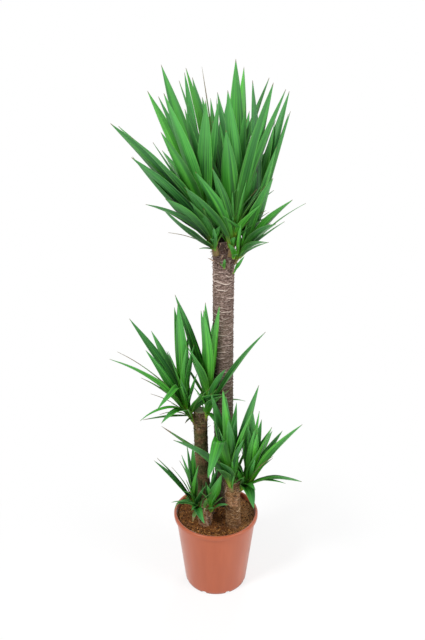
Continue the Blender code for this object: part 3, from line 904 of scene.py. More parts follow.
# Share of its length and of its width that a blade keeps, and its turn to the front in degrees.
RESHAPED = {
    "short_right_leaf_4": (0.74, 0.9, 0), "crown_left_leaf_1": (1.0, 0.62, 0),
    "medium_right_leaf_2": (1.0, 0.62, 0), "stub_left_leaf_3": (1.0, 0.75, 0),
    "short_right_leaf_2": (1.0, 1.1, 22),
}
luck = random.Random(11)
for name in LEAF_NODES:
    shoot, number = name.split("_leaf_")
    if name in RESHAPED:
        lines[name] = lines[name].part(*RESHAPED[name])
    by_chance = luck.uniform(0.05, 0.5), max(SHADE.get(shoot, 0.32) + luck.uniform(-0.35, 0.35), 0)
    young, dark = OPENED_TONES.get(name, by_chance)
    item = lay("blade_" + shoot + "_" + number, lines[name], name, young, dark)
    belongs(item, "leaf", LEAF, name)
print(len(LEAF_NODES), "opened leaves laid,", len(OPENED_TONES), "with a tone of their own")

# %% [markdown]
# ## Stems and the hearts of the rosettes
#
# A shoot breaks out of the cane's bark as a fat green bud and carries its leaves packed round
# it. The stem is a cylinder pulled in at its top and ringed where leaves have been; the leaves'
# clasping feet hide most of it. Stem and young leaves are joined into one piece, as they are in
# the measured model.

# %% Stems with their young leaves
STEM_CUTS = 9
NODE_SPACING = 0.012        # from one ring on a stem to the next


def stem_of(shoot):
    foot, bearing, lean, length, radius = SHOOTS[shoot]
    bpy.ops.mesh.primitive_cylinder_add(vertices=20, radius=radius, depth=length, end_fill_type="TRIFAN")
    item = added("stem")
    edit(item, lambda edge: rises(edge, length / 2), "EDGE")
    bpy.ops.mesh.subdivide(number_cuts=STEM_CUTS)
    done()
    points = points_of(item.data)
    share = points[:, 2] / length + 0.5
    taper = np.interp(share, [0, 0.2, 0.7, 1.0], [0.98, 0.92, 0.80, 0.35])
    ringed = 1 + 0.06 * np.sin(share * math.tau * length / NODE_SPACING)
    points[:, :2] *= (taper * ringed)[:, None]
    points[:, 2] += length / 2
    move_points(item.data, points)
    turn = heading(bearing, lean).to_track_quat("Z", "Y").to_matrix().to_4x4()
    item.data.transform(Matrix.Translation(foot) @ turn)
    dried = np.interp(share, [0.25, 0.75], [1.5, 0.0])
    tint(item.data, 0.9, 0.0, dried, 0.5)
    stamp(item.data, "upper_side", np.zeros(len(points)))
    smooth(item)
    return item


def grow(shoot, row, seed, young, dark, **shape):
    """A leaf from its row. A youth and a shade in the row stand before those by chance."""
    dry, young, dark = (*row[8:], *(0.0, young, dark)[len(row) - 8:])
    where = {key: shape.pop(key) for key in ("crease", "fold", "inside") if key in shape}
    return lay("leaf", line_by_rule(shoot, row[:8], **where), seed, young, dark, dry, **shape)


for shoot, rows in YOUNG.items():
    parts = [stem_of(shoot)]
    for number, row in enumerate(rows, 1):
        young = luck.uniform(0.45, 0.95)
        dark = luck.uniform(0.0, 0.3) + SHADE.get(shoot, 0.1) * 0.4
        parts.append(grow(shoot, whole(row), f"{shoot}{number}", young, dark))
    heart = join(parts, "heart_" + shoot)
    belongs(heart, "shoot", LEAF, shoot + "_shoot")
    print(heart.name, "has", len(rows), "young leaves")

# %% [markdown]
# ## The rest of the foliage
#
# The measured model keeps only the leaves that can stand clear of each other. A real rosette is
# fuller: more blades behind and between, thin dried ones that hang out at the side, and small
# loose leaves that sprout straight from the bark. These follow the same rule as the young
# leaves. They stay inside the outline that the measured leaves give, so the plant keeps its size.

# %% More leaves in the crown
# Buds in the bark, written like the shoots.
SHOOTS.update({
    "tall_cane_right": ((0.046, 0.008, 1.055), 80, 50, 0.01, 0.003),
    "tall_cane_front": ((0.046, 0.002, 1.100), 20, 30, 0.01, 0.003),
    "tall_cane_low": ((0.022, -0.002, 1.072), 0, 20, 0.01, 0.002),
    "stub_cane_front": ((-0.034, -0.062, 0.300), 0, 20, 0.01, 0.003),
})
# The columns are those of the young leaves.
MORE = {
    "crown_left": [
        (30, -63, 19, 35, 230, 42), (26, -35, 27, 43, 170, 38), (70, -43, 36, 52, 390, 34),
        (78, -43, 20, 30, 400, 40), (60, -37, 10, 20, 360, 38),
        (12, -50, 55, 75, 180, 6, 0, 0, 0.8), (12, -40, 66, 82, 70, 10, 0, 0, 0.1),
        (50, -146, 44, 60, 330, 36), (40, -135, 50, 66, 300, 34), (70, -129, 15, 27, 380, 30),
        (40, -39, 25, 41, 190, 26, 0, 0, 0.0, 0.4, 0.1),
        (30, -20, 2, 14, 240, 22, 0, 0, 0.0, 0.3, 0.4),
        (80, -152, 14, 20, 420, 34, 0, 0, 0.0, 0.7, 0.0),
        (40, -61, 29, 33, 330, 26, 0, 0, 0.0, 0.1, 0.4),
        (12, -58, 48, 36, 370, 30, 0, 0, 0.0, 0.1, 0.45),
        (4, -46, 64, 40, 250, 40, 0, 0, 0.0, 0.1, 0.95),
        (26, 13, 6, 18, 130, 16, 0, 0, 0.0, 0.4, 0.2),
        (30, -26, 16, 32, 160, 30, 0, 0, 0.0, 0.1, 0.6),
        (36, -30, 29, 45, 220, 34, 0, 0, 0.0, 0.1, 0.15),
        (20, 20, 10, 50, 90, 20, 0, 0, 0.0, 0.3, 0.0),
        (16, 60, 5, 30, 110, 14, 0, 0, 0.1, 0.5, 0.2),
        (14, -10, 30, 70, 80, 16, 0, 0, 0.0, 0.2, 0.5),
    ],
    "crown_front": [
        (24, -58, 8, 28, 120, 18), (20, 1, 3, 43, 120, 16), (36, 93, -7, 5, 260, 38),
        (40, -61, 11, 23, 300, 38), (60, -160, 27, 37, 340, 36), (66, 166, 26, 36, 360, 38),
        (50, 151, 26, 36, 320, 36), (80, -39, 8, 16, 300, 20, 0, 0, 0.0, 0.5, 0.0),
        (30, 87, 6, 26, 150, 16, 0, 0, 0.0, 0.6, 0.0),
        (26, 100, 1, 25, 130, 14, 0, 0, 0.0, 0.2, 0.5),
        (80, 38, 24, 28, 420, 32, 0, 0, 0.0, 0.2, 0.3),
        (60, 49, 17, 21, 320, 26, 0, 0, 0.0, 0.1, 0.5),
        (40, 47, 33, 45, 160, 30, 0, 0, 0.0, 0.6, 0.1),
        (24, -53, 1, 21, 110, 18, 0, 0, 0.0, 0.2, 0.6),
        (90, 14, 11, 15, 330, 28, 0, 0, 0.0, 0.5, 0.1),
        (30, -30, 10, 40, 120, 18, 0, 0, 0.0, 0.4, 0.1),
        (34, 70, 40, 62, 150, 14, 0, 0, 0.0, 0.1, 0.7),
        (22, -75, 5, 45, 90, 20, 0, 0, 0.0, 0.2, 0.3),
        (16, 10, 20, 60, 70, 18, 0, 0, 0.0, 0.6, 0.0),
        (44, 60, 20, 34, 190, 24, 0, 0, 0.0, 0.1, 0.6),
    ],
    "crown_right": [
        (30, 63, 15, 35, 150, 12, 0, 0, 0.1), (40, 158, 43, 55, 240, 12), (44, 18, 8, 24, 250, 34),
        (50, 165, 27, 39, 300, 34, 0, 0, 0.0, 0.0, 0.9),
        (56, 154, 27, 39, 330, 26, 0, 0, 0.0, 0.0, 0.8),
        (60, 130, 16, 24, 380, 16, 0, 0, 0.0, 0.0, 0.6),
        (60, 157, 38, 46, 330, 14, 0, 0, 0.0, 0.0, 0.7), (30, 53, 12, 32, 150, 18),
        (8, 46, 46, 54, 220, 20, 0, 0, 0.0, 0.1, 0.5),
        (4, 44, 47, 67, 150, 22, 0, 0, 0.0, 0.3, 0.4),
    ],
    "crown_back": [
        (40, -138, 22, 38, 330, 36), (44, 130, 8, 24, 330, 36), (30, -120, 26, 46, 300, 36),
        (34, 140, 35, 55, 320, 34), (90, -172, 28, 40, 380, 26), (90, -176, 23, 31, 360, 12),
        # These four wide blades fill gaps at the back and are painted nearly black-green, a painted
        # shade.
        (80, 178, 12, 22, 320, 42, 0, 0, 0.0, 0.1, 0.95),
        (70, -168, 14, 26, 300, 42, 0, 0, 0.0, 0.1, 0.95),
        (60, 160, 20, 32, 300, 42, 0, 0, 0.0, 0.1, 0.9),
        (50, -150, 24, 36, 290, 42, 0, 0, 0.0, 0.1, 0.9),
    ],
}
print(sum(len(rows) for rows in MORE.values()), "more leaves noted for the crown")

# %% [markdown]
# The middle cane has two rosettes, one on each side of its top. A few small leaves at their feet
# bend past level and hang, which a lean above 90 degrees at the tip gives.

# %% More leaves on the middle cane
MORE.update({
    "medium_left": [
        (44, -69, 27, 55, 330, 10, 0, 0, 0.5), (48, -160, 58, 70, 250, 18),
        (22, -72, 31, 55, 230, 16, 0, 0, 0.2), (20, -59, 36, 60, 190, 6, 0, 0, 0.8),
        (26, -148, 65, 89, 170, 14), (14, -41, 39, 83, 170, 6, 0, 0, 0.3),
        (12, -16, 47, 87, 90, 8, 0, 0, 0.4), (62, 51, 3, 13, 230, 28), (66, -174, -1, 9, 250, 26),
        (30, 156, 70, 102, 150, 18), (60, -19, 1, 9, 370, 42), (50, -7, 0, 8, 150, 18),
        (52, 51, -1, 7, 160, 18), (54, 43, 13, 21, 150, 16), (46, -23, 15, 23, 150, 16),
        (30, -28, 41, 101, 190, 26), (56, -153, 54, 66, 320, 30), (58, 42, -3, 7, 260, 30),
        (30, 85, 36, 68, 130, 24, 0, -60, 0.0, 0.4, 0.0),
        (20, -49, 69, 77, 200, 12, 0, 0, 0.2, 0.2, 0.0),
        (36, 64, 30, 70, 150, 30, 0, -40, 0.0, 0.3, 0.0),
    ],
    "medium_right": [
        (60, -176, 48, 58, 260, 28), (66, 50, -4, 6, 240, 28), (40, -51, 7, 23, 200, 22),
        (30, 137, 88, 120, 200, 16), (16, 17, 44, 104, 110, 16), (70, 173, 38, 46, 300, 30),
        (60, -34, 2, 8, 330, 32), (70, 176, 51, 57, 300, 34),
        (70, -26, 0, 4, 340, 36, 0, 0, 0.0, 0.5, 0.1),
        (66, -99, 10, 26, 180, 28, 0, 60, 0.0, 0.5, 0.2), (50, 15, 0, 8, 230, 28),
        (40, 161, 69, 85, 240, 26),
    ],
})
print(sum(len(rows) for rows in MORE.values()), "more leaves noted so far")

# %% [markdown]
# The two short canes carry two rosettes each. The last four names are the buds in the bark, with
# a leaf or two on each.

# %% More leaves on the short canes and from the buds
MORE.update({
    "short_front": [
        (30, 39, 7, 23, 190, 30), (46, 36, -1, 9, 240, 32), (34, -32, 32, 56, 150, 22),
        (24, -48, -4, 16, 140, 26), (56, -14, 5, 13, 230, 34),
        (44, -168, 71, 47, 300, 34, 0, 0, 0.0, 0.2, 0.6),
        (50, -68, 2, 6, 310, 26, 0, 60, 0.0, 0.9, 0.0),
        (40, -67, -1, 5, 300, 22, 0, 60, 0.0, 0.4, 0.3), (30, -22, 0, 8, 230, 40),
        (30, -134, 79, 83, 330, 16, 0, 0, 0.25, 0.1, 0.5),
        (50, 87, 11, 15, 330, 32, 0, -70, 0.0, 0.1, 0.6),
        (40, -162, 57, 33, 270, 36, 0, 0, 0.0, 0.1, 0.8),
        (44, -173, 66, 50, 300, 30, 0, 0, 0.0, 0.3, 0.5),
        (20, -69, -7, 53, 110, 26, 0, 0, 0.0, 0.1, 0.4),
    ],
    "short_right": [
        (30, 51, 23, 43, 180, 6, 0, 0, 0.8), (18, 48, 38, 82, 190, 14), (40, 158, 73, 85, 250, 26),
        (44, 11, 6, 18, 230, 28), (26, 43, 11, 27, 180, 24), (20, 21, 30, 90, 110, 22),
        (52, -22, 5, 15, 230, 26), (40, 7, 0, 8, 280, 40), (34, 74, 11, 23, 230, 36, 0, -40, 0.0),
        (44, -177, 66, 74, 250, 30), (14, -84, 16, 22, 150, 36, 0, 60, 0.0, 0.1, 0.85),
        (22, -70, 22, 34, 110, 26, 0, 50, 0.0, 0.8, 0.1),
    ],
    "stub_left": [
        (34, -172, 66, 74, 230, 14), (24, -51, 0, 60, 110, 14), (20, -13, 28, 88, 90, 14),
        (30, -63, 14, 34, 190, 10, 0, 0, 0.2), (40, -45, 4, 28, 200, 12, 0, 0, 0.1, 0.1, 0.4),
        (36, 180, 72, 84, 140, 16), (16, -51, 34, 74, 110, 16),
        (30, -105, 6, 18, 190, 20, 0, 60, 0.0), (40, -98, 30, 42, 200, 10, 0, 0, 0.1, 0.1, 0.4),
        (26, 56, 15, 23, 100, 30, 0, 0, 0.0, 0.1, 0.7),
        (20, -27, 36, 52, 100, 16, 0, 0, 0.0, 0.3, 0.3),
        (30, -95, 30, 175, 95, 15, 0, 0, 0.0, 0.1, 0.3), (16, -20, 50, 160, 60, 14, 0, 0, 0.5),
    ],
    "stub_right": [
        (20, 45, 14, 18, 160, 38, 0, -20, 0.0, 0.5, 0.1), (18, -157, 19, 39, 90, 18),
        (14, 69, 17, 49, 80, 12, 0, 0, 0.2), (30, 60, 9, 25, 110, 16), (20, -49, -8, 12, 90, 18),
    ],
    "tall_cane_right": [
        (0, 85, 26, 30, 62, 12, 0, -60, 0.0),
    ],
    "tall_cane_front": [
        (0, -40, 4, 40, 56, 21, 0, 0, 0.0, 0.8, 0.0), (0, 30, 30, 70, 34, 14),
    ],
    "tall_cane_low": [
        (0, 10, 6, 16, 34, 9, 0, 0, 0.1), (0, -60, 30, 50, 26, 5, 0, 0, 0.2),
    ],
    "stub_cane_front": [
        (0, 20, 4, 20, 60, 14, 0, 0, 0.3), (0, 50, 40, 70, 46, 12, 0, 0, 0.1),
    ],
})
print(sum(len(rows) for rows in MORE.values()), "more leaves noted in all")

# %% [markdown]
# ## Old sheaths
#
# Where a shoot leaves the bark stand short old leaves, worn down to their sheaths. A plant sets
# each new leaf a golden angle round from the last, so that no two stand above each other. That
# is easily written as a rule with a little chance in it, so these need no rows of their own.

# %% Fill in the foliage
GOLDEN = 137.5              # degrees between one leaf and the next round a stem
# How many sheaths stand at each shoot's foot, and how dark they are at the most.
SHEATHS = {"crown": (24, 0.75), "medium": (9, 0.25), "short": (9, 0.30), "stub": (6, 0.5)}
# At the front of the short cane one leaf has broken, and hangs over from a sharp fold.
FOLDED_ROW = (44, -34, 20, 22, 300, 40, 0, 40, 0.0, 0.35, 0.1)


def sheath_rows(shoot, luck, count):
    """Short old leaves round the foot of a shoot, each a golden angle on from the last."""
    length = SHOOTS[shoot][3] * 1000
    rows = []
    for k in range(count):
        bearing = (k * GOLDEN + luck.uniform(-20, 20)) % 360
        lean = luck.uniform(6, 42)
        foot = length * (0.08 + 0.74 * k / count)
        size = length * luck.uniform(0.7, 1.9), SHOOTS[shoot][4] * 2000 * luck.uniform(0.35, 0.8)
        rows.append((foot, bearing, lean, lean + luck.uniform(4, 26), *size, 0, 0))
    return rows


for shoot, rows in MORE.items():
    parts = []
    for row in map(whole, rows):
        dark = min(max(SHADE.get(shoot, 0.35) + luck.uniform(-0.35, 0.45), 0), 1)
        parts.append(grow(shoot, row, f"{shoot}{row}", luck.uniform(0.1, 0.6), dark))
    count, darkest = SHEATHS.get(shoot.rsplit("_", 1)[0], (0, 0))
    for row in sheath_rows(shoot, luck, count):
        young, dark = luck.uniform(0.3, 1.0), luck.uniform(0.0, darkest)
        row = (*row, luck.choice((0, 0, 0.2)))
        parts.append(grow(shoot, row, f"{shoot}{row}", young, dark, inside=0.75))
    if shoot == "short_front":
        bent = {"crease": 0.6, "fold": 130, "waves": 0.3, "drawn": 0.75}
        parts.append(grow(shoot, FOLDED_ROW, "folded", 0, 0, **bent))
    extra = join(parts, "more_" + shoot)
    belongs(extra, "leaf", LEAF)
    print(extra.name, "has", len(parts), "leaves")

# %% [markdown]
# ## Canes
#
# A yucca cane keeps the marks of every leaf it has dropped: pale crescent scars, each partly
# round the cane, climbing in a spiral, with cracked grey-brown bark between them. The measured
# cane is a stack of rings, so its middle and radius can be read off ring by ring. A cylinder cut
# into much finer rings is the raw bark, and a few insets give its cut top some inner rings.

# %% Read a cane and cut a fine tube
SOIL_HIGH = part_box("soil")[1]
CANE_RING = 14              # points in each ring of a measured cane
BURIED = 0.03               # how far the bark reaches down into the soil
CANE_SIDES = 80
CANE_ROW = 0.0019           # height of one fine ring


def cane_line(name):
    """Middle and radius of each ring of a measured cane, from the bottom up."""
    shape = welded(name)
    points = np.array(sorted((v.co[:] for v in shape.verts), key=lambda p: p[2]))
    shape.free()
    rings = points.reshape(-1, CANE_RING, 3)
    middles = rings.mean(axis=1)
    radii = np.linalg.norm(rings - middles[:, None], axis=2).mean(axis=1)
    return middles, radii


def fine_tube(name, high):
    """An upright tube of radius 1, cut into fine rings all the way up and over its top."""
    bpy.ops.mesh.primitive_cylinder_add(vertices=CANE_SIDES, radius=1.0, depth=high, end_fill_type="NGON")
    item = added(name)
    # One subdivide makes at most 100 cuts, so the rings are cut in two goes.
    cuts = math.ceil(math.sqrt(int(high / CANE_ROW)))
    for _ in range(2):
        edit(item, rises, "EDGE")
        bpy.ops.mesh.subdivide(number_cuts=cuts - 1)
    edit(item, lambda face: face.normal.z > 0.9, "FACE")
    for depth in (0.12, 0.28, 0.28):
        bpy.ops.mesh.inset(thickness=depth)
    done()
    return item


CANES = ("tall_cane", "medium_cane", "short_cane", "stub_cane")
for name in CANES:
    middles, radii = cane_line(name)
    print(name, "reaches", round(middles[-1][2], 3), "m, radius", round(radii[0], 4), "m at its foot")

# %% [markdown]
# ## Scars and cracks
#
# On the fine tube each vertex moves in or out: a little for the cane's slow swells, more for the
# scars and cracks. A displacement texture could do the cracks but not the scars, which follow a
# spiral and dip in the middle, so each scar is drawn by a few sums. How much of a scar a vertex
# is, and how much of the groove below it, stays with it as an attribute, for the bark's colour:
# the groove is painted dark, a painted shadow under the scar's rim.

# %% Draw the scars
SCAR_TURN = 2.4             # radians from one scar to the next, the golden angle again
SCAR_DIP = 0.0044           # how much higher a scar's ends lie than its middle
SCAR_WAVE = 0.0012
SHADOW_DROP, SHADOW_THICK = 0.003, 0.002    # the groove below a scar


def ripple(angle, z, round_about, upwards, seed):
    """Smooth noise over the bark, between -1 and 1, finer the larger its two scales are."""
    offset = Vector((seed * 7.3, seed * 1.7, seed * 3.1))
    spots = np.stack([np.cos(angle) * round_about, np.sin(angle) * round_about, z * upwards], axis=1)
    return np.array([noise.noise(Vector(spot) + offset) for spot in spots])


def scars(angle, z, low, top, spacing, seed):
    """How much each point is part of a scar's rim, and of the groove below one, which is carved and later
    painted dark as a painted shadow.
    """
    rim, groove_and_shadow = np.zeros(len(z)), np.zeros(len(z))
    for k in range(int((top - low) / spacing) + 4):
        luck = random.Random(seed * 1000 + k)
        turn = (k * SCAR_TURN + luck.uniform(-0.35, 0.35)) % math.tau
        height = low + k * spacing + luck.uniform(-0.2, 0.2) * spacing
        wide = luck.uniform(0.35, 1.0)
        thick = luck.uniform(0.0011, 0.0022)
        off = (angle - turn + math.pi) % math.tau - math.pi
        window = np.clip(1 - (off / wide) ** 2, 0, 1)
        line = height + SCAR_DIP * (off / wide) ** 2 + SCAR_WAVE * np.sin(off * luck.uniform(5, 9) + k)
        line = line + luck.uniform(-0.003, 0.003) * off
        here = window**0.5 * np.exp(-(((z - line) / thick) ** 2)) * luck.uniform(0.3, 1)
        under = window * np.exp(-(((z - line + SHADOW_DROP) / SHADOW_THICK) ** 2))
        rim, groove_and_shadow = np.maximum(rim, here), np.maximum(groove_and_shadow, under)
    return rim, groove_and_shadow


heights = np.linspace(0.3, 0.4, 200)
rim, groove_and_shadow = scars(np.zeros(200), heights, 0.3, 0.4, 0.0034, 3)
print("up 10 cm of a trial cane,", round(float((rim > 0.5).mean()) * 100), "% is scar")

# %% [markdown]
# ## Carving the bark
#
# The sums come together here. The tube is moved onto the measured cane's middle line and out to
# its radius, a little fuller where leaf feet thicken the bark. The saw cut on top stays flat, a
# touch sunken, with a narrow rim of bark.

# %% Carve a cane
ROUGH_DEEP, CRACK_DEEP = 0.0015, 0.0018
SWELL_SHARE = 0.018         # how much a cane swells, as a share of its radius
RIM_SHARE = 0.97            # the saw cut's edge, as a share of the radius
CUT_SUNK, CUT_ROUGH = 0.0012, 0.0008


def make_cane(name, spacing, scar_deep, seed, fuller):
    middles, radii = cane_line(name)
    low, top = SOIL_HIGH.z - BURIED, middles[-1][2]
    item = fine_tube("bark_" + name, top - low)
    x, y, z = points_of(item.data).T
    spoke, angle = np.hypot(x, y), np.arctan2(y, x)
    z = z + (low + top) / 2
    middles_xy = [np.interp(z, middles[:, 2], middles[:, k]) for k in range(2)]
    rim, groove_and_shadow = scars(angle, z, low, top, spacing, seed)
    swell = ripple(angle, z, 1.2, 14, seed)
    rough = ripple(angle, z, 9, 160, seed + 3)
    crack = ripple(angle, z, 16, 50, seed + 5)
    outer = np.interp(z, middles[:-1, 2], radii[:-1]) * fuller * (1 + SWELL_SHARE * swell)
    outer = outer + scar_deep * (rim - 0.7 * groove_and_shadow)
    outer = outer + ROUGH_DEEP * rough - CRACK_DEEP * np.clip(crack, 0, 1)
    on_top = z > top - 1e-4
    spoke = np.where(on_top & (spoke > 0.99), RIM_SHARE, spoke)
    cut_face = np.where(on_top & (spoke < RIM_SHARE - 0.01), 1.0, 0.0)
    z = z + np.where(on_top & (spoke < 0.9), CUT_ROUGH * rough - CUT_SUNK, 0)
    x, y = (middle + outer * spoke * way(angle) for middle, way in zip(middles_xy, (np.cos, np.sin)))
    move_points(item.data, np.stack([x, y, z], axis=1))
    stamp(item.data, "scar", rim)
    stamp(item.data, "shadow_below_scar", groove_and_shadow)
    stamp(item.data, "cut_face", cut_face)
    stamp(item.data, "height", (z - low) / (top - low))
    smooth(item, 60)
    return item


print("ready to carve", len(CANES), "canes")

# %% [markdown]
# ## Bark
#
# Bark is dull and dry, and its colour is uneven at every size: fine fibres, plates and flakes
# that lift off. Lower down it is painted darker and greenish, a painted shade with the green
# light that the leaves throw onto it, and a band just below a cane's top is painted shade under
# its rosette. The three kinds on this plant differ only in colours and shares, so one function
# paints them all: the tall cane is grey, the middle one is painted olive and dark, a painted
# shade with the green light from its rosettes, and the short ones are brown and fibrous.

# %% How a bark is painted
# After the cracks come painted shades: in the groove under a scar, just below a cane's top, and low down,
# greenish from light off the leaves.
CRACKS, SCAR_SHADOW, ROSETTE_SHADE, LOW_SHADE = (44, 28, 22), (52, 36, 28), (58, 36, 28), (46, 44, 22)


def bark(name, dark, mid, light, scar, cut, patch, scar_share, rosette_shade, low_shade, patchy):
    """A bark from its colours on a screen, and how strongly four of its marks show: its scars, two
    painted shades, below the top and low down, and its patches.
    """
    paint = Paint(name, Specular_IOR_Level=0.2)
    fibres = paint.noise(paint.place((22, 22, 120)), 5.0, detail=5, roughness=0.75)
    plates = paint.noise(paint.place((1, 1, 2.6)), 75.0, detail=4, roughness=0.7)
    flakes = paint.noise(paint.place((1, 1, 1.8)), 160.0, detail=3, roughness=0.7)
    coarse = paint.noise(paint.place(), 18.0)
    height = paint.attribute("height")
    tone = paint.coats(
        srgb(*dark),
        (fibres.between(0.38, 0.62), mid),
        (plates.between(0.50, 0.66) * 0.8, light),
        (flakes.between(0.56, 0.68) * 0.5, scar),
        (coarse.between(0.5, 0.8) * 0.5, dark),
        ((1 - coarse.between(0.36, 0.50)) * patchy, patch),
        ((1 - flakes.between(0.36, 0.48)) * 0.7, CRACKS),
        # painted shadow in the groove under each scar
        (paint.attribute("shadow_below_scar").between(0.2, 0.9) * 0.55, SCAR_SHADOW),
        (paint.attribute("scar").between(0.18, 0.75) * scar_share, scar),
        # painted shade in a band just below a cane's top, under its rosette
        (height.between(0.91, 0.975) * rosette_shade, ROSETTE_SHADE),
        (paint.attribute("cut_face") * 0.85, cut),
        # painted shade low down, greenish from light thrown by the leaves
        ((1 - height.between(0.25, 0.86)) * low_shade, LOW_SHADE),
    )
    return paint.finish(tone, fibres * 0.1 + 0.80, fibres + plates * 0.8, bump=0.7, depth=0.0014)


print("the dirt in the cracks, in linear colour:", [round(v, 4) for v in srgb(*CRACKS)])

# %% [markdown]
# A row of numbers for each cane says how close and how deep its scars are, and how much fuller
# than its solid the bark stands, because ragged edges add to a cane's width.

# %% Paint and carve the canes
# The tall cane lies in the crown's shade: its cut top and the band below it are painted dark, a painted
# shade.
GREY_BARK = bark(
    "grey_bark", (74, 54, 48), (138, 117, 107), (178, 156, 146), (222, 204, 192),
    (60, 44, 34), (112, 96, 80), scar_share=0.8, rosette_shade=0.7, low_shade=0.84, patchy=0.3,
)
# The middle cane's bark is painted olive and dark: a painted shade with green light thrown from its
# rosettes.
GREEN_SHADED_BARK = bark(
    "green_shaded_bark", (52, 54, 28), (102, 96, 58), (126, 120, 78), (158, 136, 102),
    (118, 132, 96), (140, 104, 76), scar_share=0.6, rosette_shade=0.2, low_shade=0.3, patchy=0.7,
)
FIBROUS_BARK = bark(
    "fibrous_bark", (64, 39, 18), (140, 98, 58), (188, 150, 108), (206, 178, 142),
    (150, 128, 96), (186, 140, 112), scar_share=0.6, rosette_shade=0.2, low_shade=0.1, patchy=0.5,
)
# For each cane: from scar to scar, how deep they are, the seed, how much fuller, and the bark.
CANE_LOOKS = (
    (0.0026, 0.0023, 1, 1.075, GREY_BARK), (0.0036, 0.0015, 2, 1.16, GREEN_SHADED_BARK),
    (0.0034, 0.0016, 3, 1.05, FIBROUS_BARK), (0.0036, 0.0016, 4, 1.16, FIBROUS_BARK),
)
for name, (*form, finish) in zip(CANES, CANE_LOOKS):
    item = make_cane(name, *form)
    belongs(item, "bark", finish, name)
    print(item.name, len(item.data.polygons), "faces")

# %% [markdown]
# ## Dry remains on the bark
#
# Where leaves have rotted off, their dry feet stay on as ragged brown scales, most of them near
# the top of a cane. A particle system could strew them, but a list of places that is worked out
# here can keep each one on the bark and the right way up. One scale is drawn as a short strip
# that narrows to a point and curls outwards; the copies are turned, tilted and sized by chance.

# %% One scale, and a way to strew copies
SCALE_LENGTH, SCALE_WIDE, SCALE_THICK = 0.018, 0.006, 0.0005
SCALE_OUTLINE = ((1.0, 0.0), (0.95, 0.0005), (0.7, 0.0018), (0.4, 0.004), (0.06, 0.007))


def strew(name, master, places):
    """One piece made of many copies, each turned, sized and moved."""
    flat = points_of(master.data)
    corners = np.array([list(p.vertices) for p in master.data.polygons])
    copies = [flat @ np.array(turn).T * size + spot for spot, turn, size in places]
    mesh = bpy.data.meshes.new(name)
    faces = np.concatenate([corners + k * len(flat) for k in range(len(copies))])
    mesh.from_pydata(np.concatenate(copies).tolist(), [], faces.tolist())
    chance = np.repeat([random.Random(k).random() for k in range(len(copies))], len(flat))
    stamp(mesh, "chance", chance)
    print(name, "has", len(copies), "copies")
    return placed(name, mesh)


scale_master = strip("bark_scale", 2, SCALE_LENGTH, SCALE_WIDE, SCALE_OUTLINE)
modify(scale_master, "SOLIDIFY", thickness=SCALE_THICK, offset=0.0)
print("one scale has", len(scale_master.data.vertices), "vertices")

# %% [markdown]
# A place for a scale is a spot on the bark, a turn and a size. The turn is built from three
# directions at right angles: along the scale, across it, and out of the bark. About two scales
# in three point up and the rest hang down, and most of them lean a little off the bark.

# %% Scales round the cane tops
TOP_GAP = 0.004             # from a cane's top to the first scales
SET_IN = 0.97               # how deep a scale's foot sits, as a share of the bark's radius
CROWDING = 1.7              # above 1, the scales crowd towards the top
ASKEW = 0.5                 # how far from upright they stray


def scale_places(name, count, reach, luck, fuller):
    """Spots on a cane's bark, most of them close to its top, with a turn and a size."""
    middles, radii = cane_line(name)
    places = []
    for _ in range(count):
        z = middles[-1][2] - TOP_GAP - reach * luck.random() ** CROWDING
        x, y = (np.interp(z, middles[:, 2], middles[:, k]) for k in range(2))
        radius = np.interp(z, middles[:, 2], radii) * fuller * SET_IN
        angle = luck.uniform(0, math.tau)
        out = Vector((math.cos(angle), math.sin(angle), 0))
        up = Vector((0, 0, luck.choice((1, 1, -1)))) + ASKEW * luck.gauss(0, 1) * out.cross((0, 0, 1))
        up.normalize()
        across = up.cross(out).normalized()
        turn = Matrix((across, up, across.cross(up))).transposed()
        turn = Matrix.Rotation(luck.uniform(-0.1, 0.6), 3, across) @ turn
        spot = np.array([x + out.x * radius, y + out.y * radius, z])
        places.append((spot, turn, luck.uniform(0.3, 1.1)))
    return places


scale_paint = Paint("dry_scales")
mottle = scale_paint.noise(scale_paint.place(), 120.0)
tone = scale_paint.coats(
    srgb(52, 32, 24),
    (scale_paint.attribute("chance") ** 1.6, (186, 156, 132)),
    (mottle.between(0.4, 0.7) * 0.5, (96, 68, 50)),
)
SCALES = scale_paint.finish(tone, mottle * 0.1 + 0.8)
luck = random.Random(21)
# For each cane: how many scales, how far down they reach, and how much fuller the bark is.
for name, (count, reach, fuller) in zip(
    CANES, ((210, 0.075, 1.07), (60, 0.07, 1.17), (60, 0.10, 1.07), (60, 0.06, 1.17))
):
    scales = strew("scales_" + name, scale_master, scale_places(name, count, reach, luck, fuller))
    belongs(scales, "bark", SCALES)
bpy.data.objects.remove(scale_master)

# %% [markdown]
# ## Soil
#
# Potting soil is a loose heap of peat: lumps, crumbs and hair-fine roots. The body is a disc
# pulled up along the pot's wall and then inwards, ring by ring, to a low dome, and roughened by
# two noises of different size. A displacement texture would do as well, but with the sum at hand
# the crumbs can be set on the same uneven ground.

# %% The body of the soil
SOIL_RADIUS = SOIL_HIGH.x
EDGE_LEVEL = 0.240
DOME = SOIL_HIGH.z - EDGE_LEVEL
SOIL_BOTTOM = 0.0085
SOIL_GAP = 0.0006           # air between the soil and the wall
SOIL_SIDES, SOIL_RINGS = 150, 44
LUMPS, GRIT, SETTLED = 0.0030, 0.0011, 0.0012


def dome_height(share):
    """Height of the smooth dome at a share of its radius."""
    return EDGE_LEVEL + DOME * (1 - share**2)


